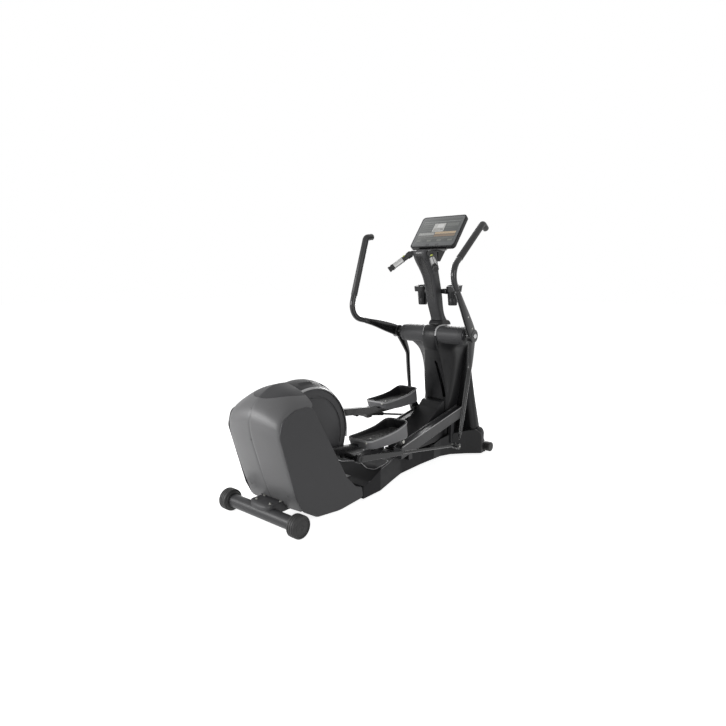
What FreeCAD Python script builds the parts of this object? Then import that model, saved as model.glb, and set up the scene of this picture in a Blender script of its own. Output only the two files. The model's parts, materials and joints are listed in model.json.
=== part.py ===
import FreeCAD, Part
import math
import os

os.makedirs("parts", exist_ok=True)

# Elliptical trainer, rear drive. Millimetres, +X to the user's right, +Y to the console, +Z up.

# ---- overall datum
yOrigin = 14.0           # the box centre lies this far along Y from the working datum
fit = 0.05               # radial play of every running fit
sleevePlay = 0.1         # radial play of a sleeve pushed over a tube
gap = 0.4                # play between neighbouring covers and seated parts
sidePlay = 0.6           # free space between the two halves of an open pivot
skin = 4.0               # wall of the moulded covers

# ---- stride and crank
strideY = 520.0          # travel of a pedal along Y between dead centres
slope = 0.2              # rise of the guide rails per unit of length
crankY = -680.0
crankZ = 424.0
crankR = strideY / 2 * math.sqrt(1 + slope * slope)
armSwing = 0.68          # angle of a swing arm between dead centres, rad
linkSwing = 0.1117       # angle of a link between dead centres, rad

# ---- widths of the layers on one side of the machine
discX = 92.0
discT = 6.0
discR = 276.0
hoopR = 286.0            # outer radius of the hoop at its edges
hoopCrown = 24.0         # rise of its middle over its edges
hoopT = 5.0
hoopHalf = 106.0
housingFront = -770.0    # front edge of the rear housing's skin
armX = 130.0
armW = 38.0
armDepth = 44.0
sideX = 205.0
sideT = 7.0

# ---- pedal arm, link and swing arm stations (right-hand side at rest)
rearPinY = crankY - strideY / 2
rearPinZ = crankZ - strideY / 2 * slope
linkY = -447.0
linkZ = 281.0
linkX = 240.0
pivotY = 643.0
pivotZ = 907.0
pivotHubX = 320.0
lowerBack = 238.0
lowerDrop = 717.0
lowerX = 376.0
rodEndX = 346.0

# ---- guide rails and rollers
railIn = 100.0
railOut = 165.0
railDepth = 75.0
railStart = 60.0
railEnd = 820.0
railMidY = 448.0
railMidZ = 291.0
lipH = 8.0
lipW = 6.0
rollerR = 32.0
rollerW = 30.0
rollerY = 95.0
rollerPinR = 6.0
trackPlay = 0.1          # daylight under a roller
trackTilt = math.sqrt(1 + slope * slope)
rollerZ = railMidZ + slope * (rollerY - railMidY) - lipH + rollerR * trackTilt + trackPlay

# ---- pedals
pedalIn = 61.0
pedalOut = 238.0
pedalRear = -355.0
pedalLen = 430.0
floorZ = 326.5           # underside of the pedal's floor
pedalSole = 8.0
padT = 5.0

# ---- frame
sparHalf = 50.0
sparTop = 100.0
sparBottom = 45.0
sparRear = -905.0
sparFront = 930.0
sparT = 5.0
drivePlateIn = 66.0
drivePlateOut = 74.0
drivePlateRear = -860.0
drivePlateFront = -560.0
columnHalf = 45.0
columnRear = 690.0
columnFront = 750.0
columnTop = 946.0
beamStarts = (180.0, 700.0)
beamW = 40.0
beamHalf = 134.0
rearTubeY = -957.0
rearCapR = 61.5
rearTubeR = 37.0
frontTubeY = 976.0
frontTubeZ = 45.0
frontTubeR = 30.0
frontTubeHalf = 268.0
rearTubeHalf = 262.0
capEnd = 310.0
frontCapEnd = 317.0
tubeWall = 4.0
footX = 242.0
footStemR = 6.0
transportX = 205.0
transportY = 1033.0
transportZ = 56.0
transportR = 25.0
crossR = 38.0
crossHalf = 272.0
crossT = 5.0

# ---- crank, flywheel and belt
axleR = 15.0
bearingR = 31.0
crankPinR = 12.0
pulleyR = 150.0
pulleyHalf = 11.0
wheelY = -760.0
wheelZ = 222.0
wheelR = 110.0
wheelPulleyR = 26.0
wheelShaftR = 10.0
smallBearingR = 21.0
beltT = 3.0
beltPlay = 0.6

# ---- swing arms and links
shaftR = 15.0
tubeR = 20.0
lowerTubeR = 15.0
gripT = 2.2
linkPinR = 10.0
armPinR = 8.0

# ---- covers on the floor, on the column and on the mast
baseRear = -372.0
baseSplit = 539.0
baseFront = 940.0
rampHalf = 88.0
collarTop = 1001.0

# ---- fixed handlebar and cup holders
barR = 18.0
barEndX = 188.0
barEndY = 379.0
barEndZ = 1363.0
barBendX = 74.0
barBendY = 478.0
barBendZ = 1474.0
barMidY = 505.0
barMidZ = 1462.0
cupX = 128.0
cupY = 693.0
cupBottom = 1108.0
cupTop = 1246.0

# ---- console
consoleY = 683.0
consoleZ = 1629.0
consoleW = 370.0
consoleH = 287.0
consoleTilt = 51.9       # degrees from the floor to the plane of the screen
bezelT = 8.0
screenW = 320.0
screenLow = -98.0
screenHigh = 119.0
keyS = -123.0
keySpots = (-40.0, 40.0)


def v(x, y, z):
    return FreeCAD.Vector(x, y, z)


def box(x0, x1, y0, y1, z0, z1):
    return Part.makeBox(x1 - x0, y1 - y0, z1 - z0, v(x0, y0, z0))


def rodX(y, z, r, x0, x1):
    return Part.makeCylinder(r, x1 - x0, v(x0, y, z), v(1, 0, 0))


def rod(p, q, r):
    return Part.makeCylinder(r, (q - p).Length, p, q - p)


def ringX(y, z, ro, ri, x0, x1):
    return rodX(y, z, ro, x0, x1).cut(rodX(y, z, ri, x0 - 1, x1 + 1))


def mirrored(shape):
    return shape.mirror(v(0, 0, 0), v(1, 0, 0))


def cornerPoints(points, radii, closed):
    """Straight runs with a round at each inner point: a list of edges."""
    count = len(points)
    trims = []
    for i in range(count):
        if not closed and i in (0, count - 1):
            trims.append((points[i], None, points[i]))
            continue
        a = points[i - 1]
        p = points[i]
        b = points[(i + 1) % count]
        toA = (a - p).normalize()
        toB = (b - p).normalize()
        half = toA.getAngle(toB) / 2
        r = radii[i]
        if r <= 0 or half > 1.56:
            trims.append((p, None, p))
            continue
        t = min(r / math.tan(half), 0.49 * (a - p).Length, 0.49 * (b - p).Length)
        r = t * math.tan(half)
        mid = (toA + toB).normalize()
        centre = p + mid * (r / math.sin(half))
        trims.append((p + toA * t, centre - mid * r, p + toB * t))
    edges = []
    last = count if closed else count - 1
    for i in range(count):
        start, middle, end = trims[i]
        if middle is not None:
            edges.append(Part.Arc(start, middle, end).toShape())
        if i < last:
            follow = trims[(i + 1) % count][0]
            if (follow - end).Length > 0.001:
                edges.append(Part.makeLine(end, follow))
    return edges


def roundedWire(points, radii):
    if not isinstance(radii, (list, tuple)):
        radii = [radii] * len(points)
    return Part.Wire(cornerPoints(points, radii, True))


def profileX(points, x0, x1, radii=0.0):
    """A flat outline given as (y, z) points, drawn out along X."""
    wire = roundedWire([v(x0, y, z) for y, z in points], radii)
    return Part.Face(wire).extrude(v(x1 - x0, 0, 0))


def planShape(points, z0, z1, radii=0.0):
    """A flat outline given as (x, y) points, drawn out along Z."""
    wire = roundedWire([v(x, y, z0) for x, y in points], radii)
    return Part.Face(wire).extrude(v(0, 0, z1 - z0))


def rectPoints(x0, x1, y0, y1, z):
    return [v(x0, y0, z), v(x1, y0, z), v(x1, y1, z), v(x0, y1, z)]


def slab(x0, x1, y0, y1, z0, z1, r):
    wire = roundedWire(rectPoints(x0, x1, y0, y1, z0), r)
    return Part.Face(wire).extrude(v(0, 0, z1 - z0))


def bentTube(points, bend, r):
    """A round bar along straight runs joined by arcs."""
    radii = [bend] * len(points) if not isinstance(bend, (list, tuple)) else bend
    path = Part.Wire(cornerPoints(points, radii, False))
    start = points[0]
    along = (points[1] - points[0]).normalize()
    ring = Part.Wire(Part.makeCircle(r, start, along))
    return path.makePipeShell([ring], True, True)


def rectLoft(sections, ruled=False):
    """Rounded rectangles (halfX, y0, y1, z, r) joined from the bottom up."""
    wires = [roundedWire(rectPoints(-h, h, y0, y1, z), r) for h, y0, y1, z, r in sections]
    return Part.makeLoft(wires, True, ruled)


def loftShell(sections, ruled=False, closedTop=False):
    """A skin of even wall over the sections, open below and, unless closed, above."""
    inner = [(h - skin, y0 + skin, y1 - skin, z, r - skin) for h, y0, y1, z, r in sections]
    h, y0, y1, z, r = inner[0]
    inner[0] = (h, y0, y1, z - 10, r)
    h, y0, y1, z, r = inner[-1]
    inner[-1] = (h, y0, y1, z - skin if closedTop else z + 10, r)
    return rectLoft(sections, ruled).cut(rectLoft(inner, ruled))


def insetLoop(points, d):
    """A closed outline of (y, z) points drawn in by d on every side."""
    count = len(points)
    area = 0
    for i in range(count):
        area += points[i - 1][0] * points[i][1] - points[i][0] * points[i - 1][1]
    turn = 1 if area > 0 else -1
    out = []
    for i in range(count):
        a = points[i - 1]
        p = points[i]
        b = points[(i + 1) % count]
        first = math.atan2(p[1] - a[1], p[0] - a[0])
        second = math.atan2(b[1] - p[1], b[0] - p[0])
        half = math.remainder(second - first, 2 * math.pi) / 2
        middle = first + half + turn * math.pi / 2
        reach = d / math.cos(half)
        out.append((p[0] + reach * math.cos(middle), p[1] + reach * math.sin(middle)))
    return out


def profileShell(points, half, radii):
    """An even skin over an outline drawn out along X, centred on the machine."""
    softer = [max(r - skin, 0) for r in radii]
    room = profileX(insetLoop(points, skin), skin - half, half - skin, softer)
    return profileX(points, -half, half, radii).cut(room)


def circles(shape):
    return [e for e in shape.Edges if e.Curve.TypeId == "Part::GeomCircle"]


def span(side, x0, x1):
    """The two ends along X of a piece on one side, low end first."""
    return sorted((side * x0, side * x1))


def save(name, shape):
    if shape.ShapeType == "Compound" and len(shape.Solids) == 1:
        shape = shape.Solids[0]
    shape = shape.copy()
    shape.translate(v(0, -yOrigin, 0))
    if not shape.isValid() or shape.Volume <= 0:
        print("BAD", name, shape.isValid(), shape.Volume)
    shape.exportStep("parts/" + name + ".step")
    b = shape.optimalBoundingBox(False)
    print("%-26s %2d solids  x %.0f..%.0f  y %.0f..%.0f  z %.0f..%.0f" % (
        name, len(shape.Solids), b.XMin, b.XMax, b.YMin, b.YMax, b.ZMin, b.ZMax))


def pair(name, shape, moved=None):
    """Right-hand part as drawn; the left-hand one mirrored and put at its own rest place."""
    save(name + "_right", shape)
    left = mirrored(shape)
    if moved:
        left = moved(left)
    save(name + "_left", left)


def strideShift(shape):
    shape.translate(v(0, strideY, strideY * slope))
    return shape


def linkShift(shape):
    shape.rotate(v(0, linkY, linkZ), v(1, 0, 0), -math.degrees(linkSwing))
    return strideShift(shape)


def armShift(shape):
    shape.rotate(v(0, pivotY, pivotZ), v(1, 0, 0), math.degrees(armSwing))
    return shape


def lipTop(y):
    return railMidZ + slope * (y - railMidY)


# ---- fixed structure

def mainFrame():
    """One weldment: hollow spar, drive plates, a strap for the side covers, column, cross tube, rail posts."""
    frame = box(-sparHalf, sparHalf, sparRear, sparFront, sparBottom, sparTop)
    frame = frame.cut(box(sparT - sparHalf, sparHalf - sparT, sparRear + 1, sparFront - 1,
                          sparBottom + sparT, sparTop - sparT))
    floorTop = sparTop + 8
    frame = frame.fuse(box(-drivePlateOut, drivePlateOut, drivePlateRear, drivePlateFront,
                           sparTop - 2, floorTop))
    strapHalf = sideX + gap - 0.3
    frame = frame.fuse(box(-strapHalf, strapHalf, -700, -670, sparTop - 2, floorTop))
    plateLine = [(drivePlateRear, sparTop - 2), (drivePlateFront, sparTop - 2), (-600, 330), (-628, 480),
                 (-732, 480), (-800, 330)]
    for side in (-1, 1):
        x0, x1 = span(side, drivePlateIn, drivePlateOut)
        plate = profileX(plateLine, x0, x1, 12)
        plate = plate.cut(rodX(crankY, crankZ, bearingR, -80, 80))
        plate = plate.cut(rodX(wheelY, wheelZ, smallBearingR, -80, 80))
        frame = frame.fuse(plate)
    column = box(-columnHalf, columnHalf, columnRear, columnFront, sparTop - 1, columnTop)
    column = column.cut(box(sparT - columnHalf, columnHalf - sparT, columnRear + sparT, columnFront - sparT,
                            sparTop + 10, columnTop - 10))
    saddle = profileX([(598, 869), (598, 850), (660, 770), (692, 770), (692, 869)], -60, 60)
    saddle = saddle.fuse(box(-60, 60, 640, 692, 800, 900))
    frame = frame.fuse(column).fuse(saddle).fuse(rodX(pivotY, pivotZ, crossR, -crossHalf, crossHalf))
    frame = frame.cut(rodX(pivotY, pivotZ, crossR - crossT, -crossHalf - 1, crossHalf + 1))
    for y0 in beamStarts:
        y1 = y0 + beamW
        frame = frame.fuse(box(-beamHalf, beamHalf, y0, y1, sparTop - 1, 124))
        under = [(y0, 120), (y1, 120), (y1, lipTop(y1) - railDepth), (y0, lipTop(y0) - railDepth)]
        post = profileX(under, 108, beamHalf)
        frame = frame.fuse(post).fuse(mirrored(post))
    return frame.removeSplitter()


def rearStabiliser():
    return ringX(rearTubeY, rearCapR, rearTubeR, rearTubeR - tubeWall, -rearTubeHalf, rearTubeHalf)


def rearCap():
    cap = rodX(rearTubeY, rearCapR, rearCapR, rearTubeHalf - 14, capEnd)
    cap = cap.makeFillet(7, circles(cap))
    cap = cap.cut(rodX(rearTubeY, rearCapR, rearTubeR + fit, 200, rearTubeHalf))
    return cap.cut(ringX(rearTubeY, rearCapR, rearCapR + 2, rearCapR - 2.5, rearTubeHalf + 8, rearTubeHalf + 12))


def rearMount():
    """Plate over the spar's tail with a leg that hooks behind it, both cupped round the rear tube."""
    rear = sparRear - gap
    plate = profileX([(-990, 84), (-986, 112), (drivePlateRear - 2, 118), (drivePlateRear - 2, sparTop),
                      (rear - 5, sparTop)], -86, 86, [10, 14, 3, 0, 0])
    plate = plate.cut(box(-100, 100, -1000, sparRear, 0, 84))
    leg = profileX([(-940, 60), (rear, 60), (rear, sparTop + 1), (-940, sparTop + 1)], -86, 86)
    return plate.fuse(leg).cut(rodX(rearTubeY, rearCapR, rearTubeR + sleevePlay, -100, 100))


def frontStabiliser():
    """Cross tube with a lug to the spar, bosses for the feet and ears for the transport wheels."""
    body = rodX(frontTubeY, frontTubeZ, frontTubeR, -frontTubeHalf, frontTubeHalf)
    body = body.fuse(box(-60, 60, sparFront, 972, 22, 84))
    earLine = [(980, 38), (transportY + 11, 44), (transportY + 11, 68), (980, 66)]
    for side in (-1, 1):
        body = body.fuse(Part.makeCylinder(14, 30, v(side * footX, frontTubeY, 14)))
        for x0 in (side * transportX - 20, side * transportX + 14):
            body = body.fuse(profileX(earLine, x0, x0 + 6, [0, 8, 8, 0]))
    body = body.cut(rodX(frontTubeY, frontTubeZ, frontTubeR - tubeWall, -frontTubeHalf - 2, frontTubeHalf + 2))
    for side in (-1, 1):
        body = body.cut(Part.makeCylinder(footStemR + fit, 60, v(side * footX, frontTubeY, 0)))
        axle = rodX(transportY, transportZ, 6, side * transportX - 20, side * transportX + 20)
        body = body.fuse(axle)
    return body.removeSplitter()


def frontCap():
    cap = rodX(frontTubeY, frontTubeZ, 35, frontTubeHalf, frontCapEnd)
    return cap.makeFillet(6, [e for e in circles(cap) if e.CenterOfMass.x > frontCapEnd - 1])


def levellingFoot(side):
    pad = Part.makeCylinder(24, 9, v(side * footX, frontTubeY, 0))
    pad = pad.makeFillet(3, [e for e in circles(pad) if e.CenterOfMass.z > 5])
    return pad.fuse(Part.makeCylinder(footStemR, 44, v(side * footX, frontTubeY, 8)))


def transportWheel(side):
    x = side * transportX
    tyre = rodX(transportY, transportZ, transportR, x - 12, x + 12)
    return tyre.makeFillet(4, circles(tyre)).cut(rodX(transportY, transportZ, 6 + fit, x - 20, x + 20))


def sloped(y0, y1, upper, lower):
    """A band parallel to the rails, between two depths below the lips."""
    return [(y0, lipTop(y0) - upper), (y1, lipTop(y1) - upper),
            (y1, lipTop(y1) - lower), (y0, lipTop(y0) - lower)]


def guideRail():
    """Hollow rail with a lip on each side of the roller's track."""
    wall = 5
    rail = profileX(sloped(railStart, railEnd, 0, railDepth), railIn, railOut)
    track = sloped(railStart - wall, railEnd + wall, -lipH, lipH)
    rail = rail.cut(profileX(track, railIn + lipW, railOut - lipW))
    hollow = sloped(railStart + wall, railEnd - wall, lipH + 6, railDepth - wall)
    return rail.cut(profileX(hollow, railIn + wall, railOut - wall))


def rampCover():
    """Hump between the rails and in front of the column, open below and in front."""
    line = [(236, 129), (236, 180), (420, 262), (600, 372), (644, 412), (677, 420), (677, 129)]
    cover = profileShell(line, rampHalf, [0, 20, 60, 60, 25, 8, 0])
    rim = [e for e in cover.Edges
           if abs(abs(e.CenterOfMass.x) - rampHalf) < 0.1 and 175 < e.CenterOfMass.z < 419]
    cover = cover.makeFillet(3, rim)
    return cover.cut(box(skin - rampHalf, rampHalf - skin, 236 + skin, 677 - skin, 100, 140))


def baseProfile(y0, y1, low, front=None):
    """The top line of the floor covers, lowered by a given amount, down to below the floor."""
    front = front or baseFront
    line = [(baseRear, 90 - low), (-310, 98 - low), (-190, 148 - low), (0, 150 - low), (230, 134 - low),
            (456, 106 - low), (560, 124 - low), (700, 162 - low), (800, 184 - low), (868, 194 - low),
            (front - 14, 180 - low), (front, 118 - low), (front, 0), (baseRear, 0)]
    whole = profileX(line, -400, 400, [0, 60, 60, 40, 60, 60, 40, 40, 30, 24, 12, 0, 0, 0])
    return whole.common(box(-400, 400, y0, y1, -10, 400))


def frontShoulders(inset):
    """Round shoulders along the top of the front floor cover, drawn in by an inset."""
    half = 285 - inset
    top = 196 - inset
    wire = roundedWire([v(-half, 530, 0), v(half, 530, 0), v(half, 530, top), v(-half, 530, top)],
                       [0, 0, 60 - inset, 60 - inset])
    return Part.Face(wire).extrude(v(0, 450, 0))


def basePlan(inset, z0, z1):
    half = [(210, baseRear), (200, -200), (150, -30), (106, 130), (93, 380), (96, 620), (126, 710),
            (200, 800), (285, 880), (285, baseFront)]
    soft = [0, 60, 150, 150, 200, 60, 60, 60, 20, 46]
    points = [(x - inset, y) for x, y in half]
    points = points + [(-x, y) for x, y in reversed(points)]
    return planShape(points, z0, z1, soft + list(reversed(soft)))


def basePiece(y0, y1):
    """A floor cover between two stations, with room for the spar and for the cross beams."""
    shell = baseProfile(y0, y1, 0).common(basePlan(0, 12, 300))
    room = baseProfile(y0 + skin, y1 - skin, skin).common(basePlan(skin, 0, 300))
    if y1 > 800:
        shell = shell.common(frontShoulders(0))
        room = room.common(frontShoulders(skin))
    shell = shell.cut(room).cut(box(-sparHalf - 1, sparHalf + 1, y0 - 30, y1 + 30, 40, sparTop + 1))
    for start in beamStarts:
        shell = shell.cut(box(-beamHalf - 2, beamHalf + 2, start - 1, start + beamW + 1, 99, 290))
    return shell.cut(box(-rampHalf - gap, rampHalf + gap, 236 - gap, columnFront + 2, 99, 290))


def rearBaseCover():
    bed = profileX(sloped(railStart - 1, railEnd, 0, railDepth + 1), railIn - 1, railOut + 1)
    return basePiece(baseRear, baseSplit - 1).cut(bed).cut(mirrored(bed))


def frontBaseCover():
    return basePiece(baseSplit + 1, baseFront).cut(box(-62, 62, sparFront - 5, 960, 10, 86))


def towerRear():
    """Rear half of the column's cover, standing on the floor cover, with two slots for air."""
    back = 831.6
    shell = loftShell([(97, 684, back, 130, 26), (97, 684, back, 385, 26), (104, 683, back, 430, 28),
                       (92, 662, back, 640, 30), (92, 640, back, 770, 36), (150, 628, back, 846, 44)], True)
    shell = shell.cut(baseProfile(baseRear, baseFront, -0.3))
    vent = box(38, 46, 640, 690, 450, 690)
    shell = shell.cut(vent).cut(mirrored(vent))
    return shell.cut(box(-60 - gap, 60 + gap, 590, 693, 764, 900))


def towerFront():
    """Front half of the column's cover, spreading over the front of the floor cover."""
    shell = loftShell([(254, 853, 966, 100, 40), (242, 851, 950, 200, 40), (216, 842, 926, 400, 40),
                       (190, 833, 886, 640, 24), (184, 832, 872, 800, 18), (176, 832, 866, 852, 16)], True)
    return shell.cut(baseProfile(baseRear, 980, -0.3, 980))


def pivotShaft(side):
    """Shaft for a swing arm with a plug that fills the end of the cross tube."""
    x0, x1 = span(side, 200, 348)
    y0, y1 = span(side, 201, crossHalf - 1)
    return rodX(pivotY, pivotZ, shaftR, x0, x1).fuse(rodX(pivotY, pivotZ, crossR - crossT, y0, y1))


def crossCover():
    """Flat topped cover along the cross tube, notched round the mast's foot."""
    half = crossHalf - 6
    cover = profileX([(604, 945.3), (612, 964), (742, 964), (752, 945.3)], -half, half, [4, 8, 8, 4])
    return cover.cut(box(-columnHalf - 1, columnHalf + 1, 684, 760, 930, 970))


def mastPost():
    """Cranked post on the column, with a clamp for the fixed handlebar and an arm to the console."""
    flange = slab(-44, 44, 691, 749, columnTop, columnTop + 10, 6)
    line = [(694, 950), (694, 1000), (645, 1116), (602, 1267), (566, 1365), (550, 1440), (550, 1470),
            (594, 1470), (672, 1590), (690, 1590), (704, 1532), (618, 1442), (598, 1426), (606, 1367),
            (642, 1269), (685, 1118), (736, 1000), (736, 950)]
    clampBlock = slab(-26, 26, 478, 560, barMidZ - 24, barMidZ + 19, 6)
    post = profileX(line, -30, 30).fuse(clampBlock).fuse(flange).cut(consoleEnvelope())
    return post.cut(fixedBarSolid(barR + fit)).removeSplitter()


def mastRows(grow=0.0):
    rows = [(47, 672, 762, collarTop, 18), (46, 622, 706, 1116, 18), (48, 577, 664, 1267, 18),
            (54, 532, 632, 1350, 22), (61, 462, 612, 1437, 30), (62, 452, 600, 1486, 30)]
    return [(h + grow, y0 - grow, y1 + grow, z, r) for h, y0, y1, z, r in rows]


def mastCover():
    shell = loftShell(mastRows(), False, True)
    shell = shell.cut(fixedBarSolid(barR + 1.0))
    return shell.cut(box(-31, 31, 588, 640, 1424, 1500))


def mastCollar():
    rows = [(58, 648, 806, 964.3, 30), (56, 652, 800, 984, 30), (51, 666, 770, collarTop - gap, 24)]
    return rectLoft(rows).cut(rectLoft([(52, 654, 800, 960, 26), (47.4, 671.6, 762.4, collarTop, 18)]))


def barPoints():
    right = [v(34, barMidY, barMidZ), v(barBendX, barBendY, barBendZ), v(barEndX, barEndY, barEndZ)]
    return [v(-p.x, p.y, p.z) for p in reversed(right)] + right


def fixedBarSolid(r):
    return bentTube(barPoints(), [0, 30, 30, 30, 30, 0], r)


def barStation(side, along):
    """A point this far down one arm of the fixed handlebar, and the arm's direction."""
    axis = v(side * (barEndX - barBendX), barEndY - barBendY, barEndZ - barBendZ).normalize()
    return v(side * barBendX, barBendY, barBendZ) + axis * along, axis


def fixedBar():
    bar = fixedBarSolid(barR)
    for side in (-1, 1):
        spot, axis = barStation(side, 62)
        up = buttonUp(axis)
        bar = bar.cut(Part.makeCylinder(8 + gap, 10, spot + up * 10, up))
    return bar


def buttonUp(axis):
    """Square to the bar, leaning back towards the user."""
    up = v(0, -0.3, 1)
    return (up - axis * up.dot(axis)).normalize()


def remoteButton(side):
    spot, axis = barStation(side, 62)
    up = buttonUp(axis)
    return Part.makeCylinder(8, 8, spot + up * 12.5, up)


def sensorPlates():
    """Two half sleeves on each arm of the fixed handlebar, parted by a slot."""
    parts = []
    for side in (-1, 1):
        start, axis = barStation(side, 82)
        sleeve = Part.makeCylinder(barR + 1.4, 74, start, axis)
        sleeve = sleeve.cut(Part.makeCylinder(barR + sleevePlay, 80, start - axis * 2, axis))
        up = buttonUp(axis)
        across = axis.cross(up)
        slot = Part.makeBox(80, 60, 4)
        slot.Placement = FreeCAD.Placement(start - axis * 3 - up * 30 - across * 2,
                                           FreeCAD.Rotation(axis, up, across, "XYZ"))
        parts.extend(sleeve.cut(slot).Solids)
    return Part.Compound(parts)


def barEndCaps():
    length = (v(barEndX, barEndY, barEndZ) - v(barBendX, barBendY, barBendZ)).Length
    parts = []
    for side in (-1, 1):
        end, axis = barStation(side, length)
        cap = Part.makeCylinder(barR + 2, 12, end, axis)
        parts.append(cap.makeFillet(2.5, circles(cap)))
    return Part.Compound(parts)


def cupHolder():
    """A tapered cup in a tray, with an arm that butts on the mast's cover."""
    tray = slab(86, 190, 648, 738, cupTop - 38, cupTop, 27)
    arm = slab(47.7, 100, 640, 700, cupTop - 24, cupTop - 8, 6)
    cup = Part.makeCone(37, 42, cupTop - cupBottom, v(cupX, cupY, cupBottom))
    body = tray.fuse(arm).fuse(cup)
    room = Part.makeCone(33.5, 38.5, cupTop - cupBottom - 3, v(cupX, cupY, cupBottom + 4))
    slot = slab(174, 182, 668, 718, cupTop - 52, cupTop + 18, 4)
    return body.cut(room).cut(slot).removeSplitter()


# ---- console, drawn flat and then tilted

def tilted(shape):
    """Stand a shape drawn flat, screen up, at the console's place and slant."""
    shape.rotate(v(0, 0, 0), v(1, 0, 0), consoleTilt)
    shape.translate(v(0, consoleY, consoleZ))
    return shape


def consolePlan(inset, z0, z1, r):
    halfW = consoleW / 2 - inset
    halfH = consoleH / 2 - inset
    return slab(-halfW, halfW, -halfH, halfH, z0, z1, r)


def humpRows(grow):
    return [(60 + grow, -90 - grow, 40 + grow, -70 - grow, 20), (110 + grow, -110 - grow, 80 + grow, -33, 30)]


def consoleHousing():
    back = consolePlan(0, -34, -bezelT, 26)
    back = back.makeFillet(9, [e for e in back.Edges if abs(e.CenterOfMass.z + 34) < 0.1])
    body = back.fuse(rectLoft(humpRows(0)))
    return tilted(body.cut(consolePlan(5, -30, 1 - bezelT, 22)))


def consoleBezel():
    plate = consolePlan(0, -bezelT, 0, 26)
    plate = plate.makeFillet(3, [e for e in plate.Edges if abs(e.CenterOfMass.z) < 0.1])
    plate = plate.cut(slab(-screenW / 2, screenW / 2, screenLow, screenHigh, -bezelT - 1, 1, 6))
    for x in keySpots:
        plate = plate.cut(slab(x - 13 - gap, x + 13 + gap, keyS - 6 - gap, keyS + 6 + gap,
                               -bezelT - 1, 1, 3 + gap))
    return tilted(plate)


def consoleScreen():
    play = 0.3
    return tilted(slab(play - screenW / 2, screenW / 2 - play, screenLow + play, screenHigh - play,
                       -bezelT, -1.5, 6 - play))


def consoleKey(x):
    return tilted(slab(x - 13, x + 13, keyS - 6, keyS + 6, -5.5, 2, 3))


def consoleStand():
    """Wedge behind the console, round the end of the post."""
    line = [(604, 1420), (628, 1414), (712, 1512), (706, 1586), (669, 1586), (640, 1500), (604, 1488)]
    body = profileShell(line, 58, [10, 10, 12, 0, 0, 10, 4])
    body = body.cut(consoleEnvelope()).cut(rectLoft(mastRows(gap)))
    return body.cut(profileX([(590, 1424), (618, 1440), (705, 1532), (690, 1600), (590, 1500)], -31, 31))


def consoleEnvelope():
    """The room behind the housing that the post and the stand cover stay out of."""
    return tilted(consolePlan(-15, -34.3, 200, 26).fuse(rectLoft(humpRows(gap))))


# ---- rear housing

def ribWire(x, points, frontY, low):
    """One rib of the rear housing: a soft line over the back, closed in front and below."""
    curve = Part.BSplineCurve()
    curve.interpolate([v(x, y, z) for y, z in points])
    first = v(x, points[0][0], points[0][1])
    last = v(x, points[-1][0], points[-1][1])
    lowFront = v(x, frontY, low)
    lowRear = v(x, first.y, low)
    return Part.Wire([curve.toShape(), Part.makeLine(last, lowFront), Part.makeLine(lowFront, lowRear),
                      Part.makeLine(lowRear, first)])


def insetLine(points, d):
    """An open line of (y, z) points moved in by d, square to its run."""
    last = len(points) - 1
    out = []
    for i in range(last + 1):
        a = points[max(i - 1, 0)]
        b = points[min(i + 1, last)]
        size = math.hypot(b[0] - a[0], b[1] - a[1])
        out.append((points[i][0] + d * (b[1] - a[1]) / size, points[i][1] - d * (b[0] - a[0]) / size))
    return out


def housingHull(d, lowZ, frontY):
    """The rear housing as a solid, drawn in by d: edge ribs, shoulder ribs and a centre rib."""
    edge = [(-858, 86), (-904, 180), (-957, 345), (-1005, 500), (-1006, 562), (-970, 617), (-888, 642),
            (-770, 645)]
    shoulder = [(-868, 86), (-916, 180), (-969, 345), (-1019, 505), (-1022, 584), (-986, 650), (-897, 696),
                (-770, 708)]
    centre = [(-872, 86), (-922, 180), (-975, 345), (-1025, 507), (-1028, 588), (-991, 657), (-899, 706),
              (-770, 722)]
    wires = []
    for x, line in ((d - sideX, edge), (-112, shoulder), (0, centre), (112, shoulder), (sideX - d, edge)):
        points = insetLine(line, d)
        points[0] = (points[0][0], 86.0)
        points[-1] = (frontY, points[-1][1])
        wires.append(ribWire(x, points, frontY, lowZ))
    return Part.makeLoft(wires, True, False)


def housingShell():
    shell = housingHull(0, 84, housingFront).cut(housingHull(5, 60, housingFront + 10))
    return shell.cut(box(-92, 92, -1100, -840, 0, 124))


def lidZone(play):
    """The region above the lid's seam, drawn in by the play."""
    line = [(-955 + play, 900), (-955 + play, 660 + play), (-900, 655 + play), (-700, 660 + play), (-700, 900)]
    return profileX(line, play - 150, 150 - play)


def rearCover(shell):
    return shell.cut(lidZone(0))


def topLid(shell):
    return shell.common(lidZone(gap + 0.2))


def crownedDisc(outer, crown):
    """A drum of revolution about the crank's axis whose rim bulges in the middle."""
    edge = v(hoopHalf, crankY, crankZ + outer)
    top = v(0, crankY, crankZ + outer + crown)
    rim = Part.Arc(v(-hoopHalf, edge.y, edge.z), top, edge).toShape()
    low = [v(-hoopHalf, crankY, crankZ + 100), v(hoopHalf, crankY, crankZ + 100)]
    wire = Part.Wire([rim, Part.makeLine(edge, low[1]), Part.makeLine(low[1], low[0]),
                      Part.makeLine(low[0], v(-hoopHalf, edge.y, edge.z))])
    return Part.Face(wire).revolve(v(0, crankY, crankZ), v(1, 0, 0), 360)


def drumHoop():
    """Arched and crowned strip round the crank discs, open below and behind."""
    hoop = crownedDisc(hoopR, hoopCrown).cut(crownedDisc(hoopR - hoopT, hoopCrown))
    rear = housingFront + gap
    keep = profileX([(rear, 800), (rear, crankZ), (crankY, crankZ), (-330, 372), (-330, 800)], -200, 200)
    return hoop.common(keep)


def sideLine():
    return [(-1007, 516), (-987, 595), (-891, 638), (-786, 641), (-614, 353), (-516, 184), (-439, 108),
            (-386, 89), (-377, 25), (-574, 7), (-756, 24), (-858, 85), (-901, 166)]


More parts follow.
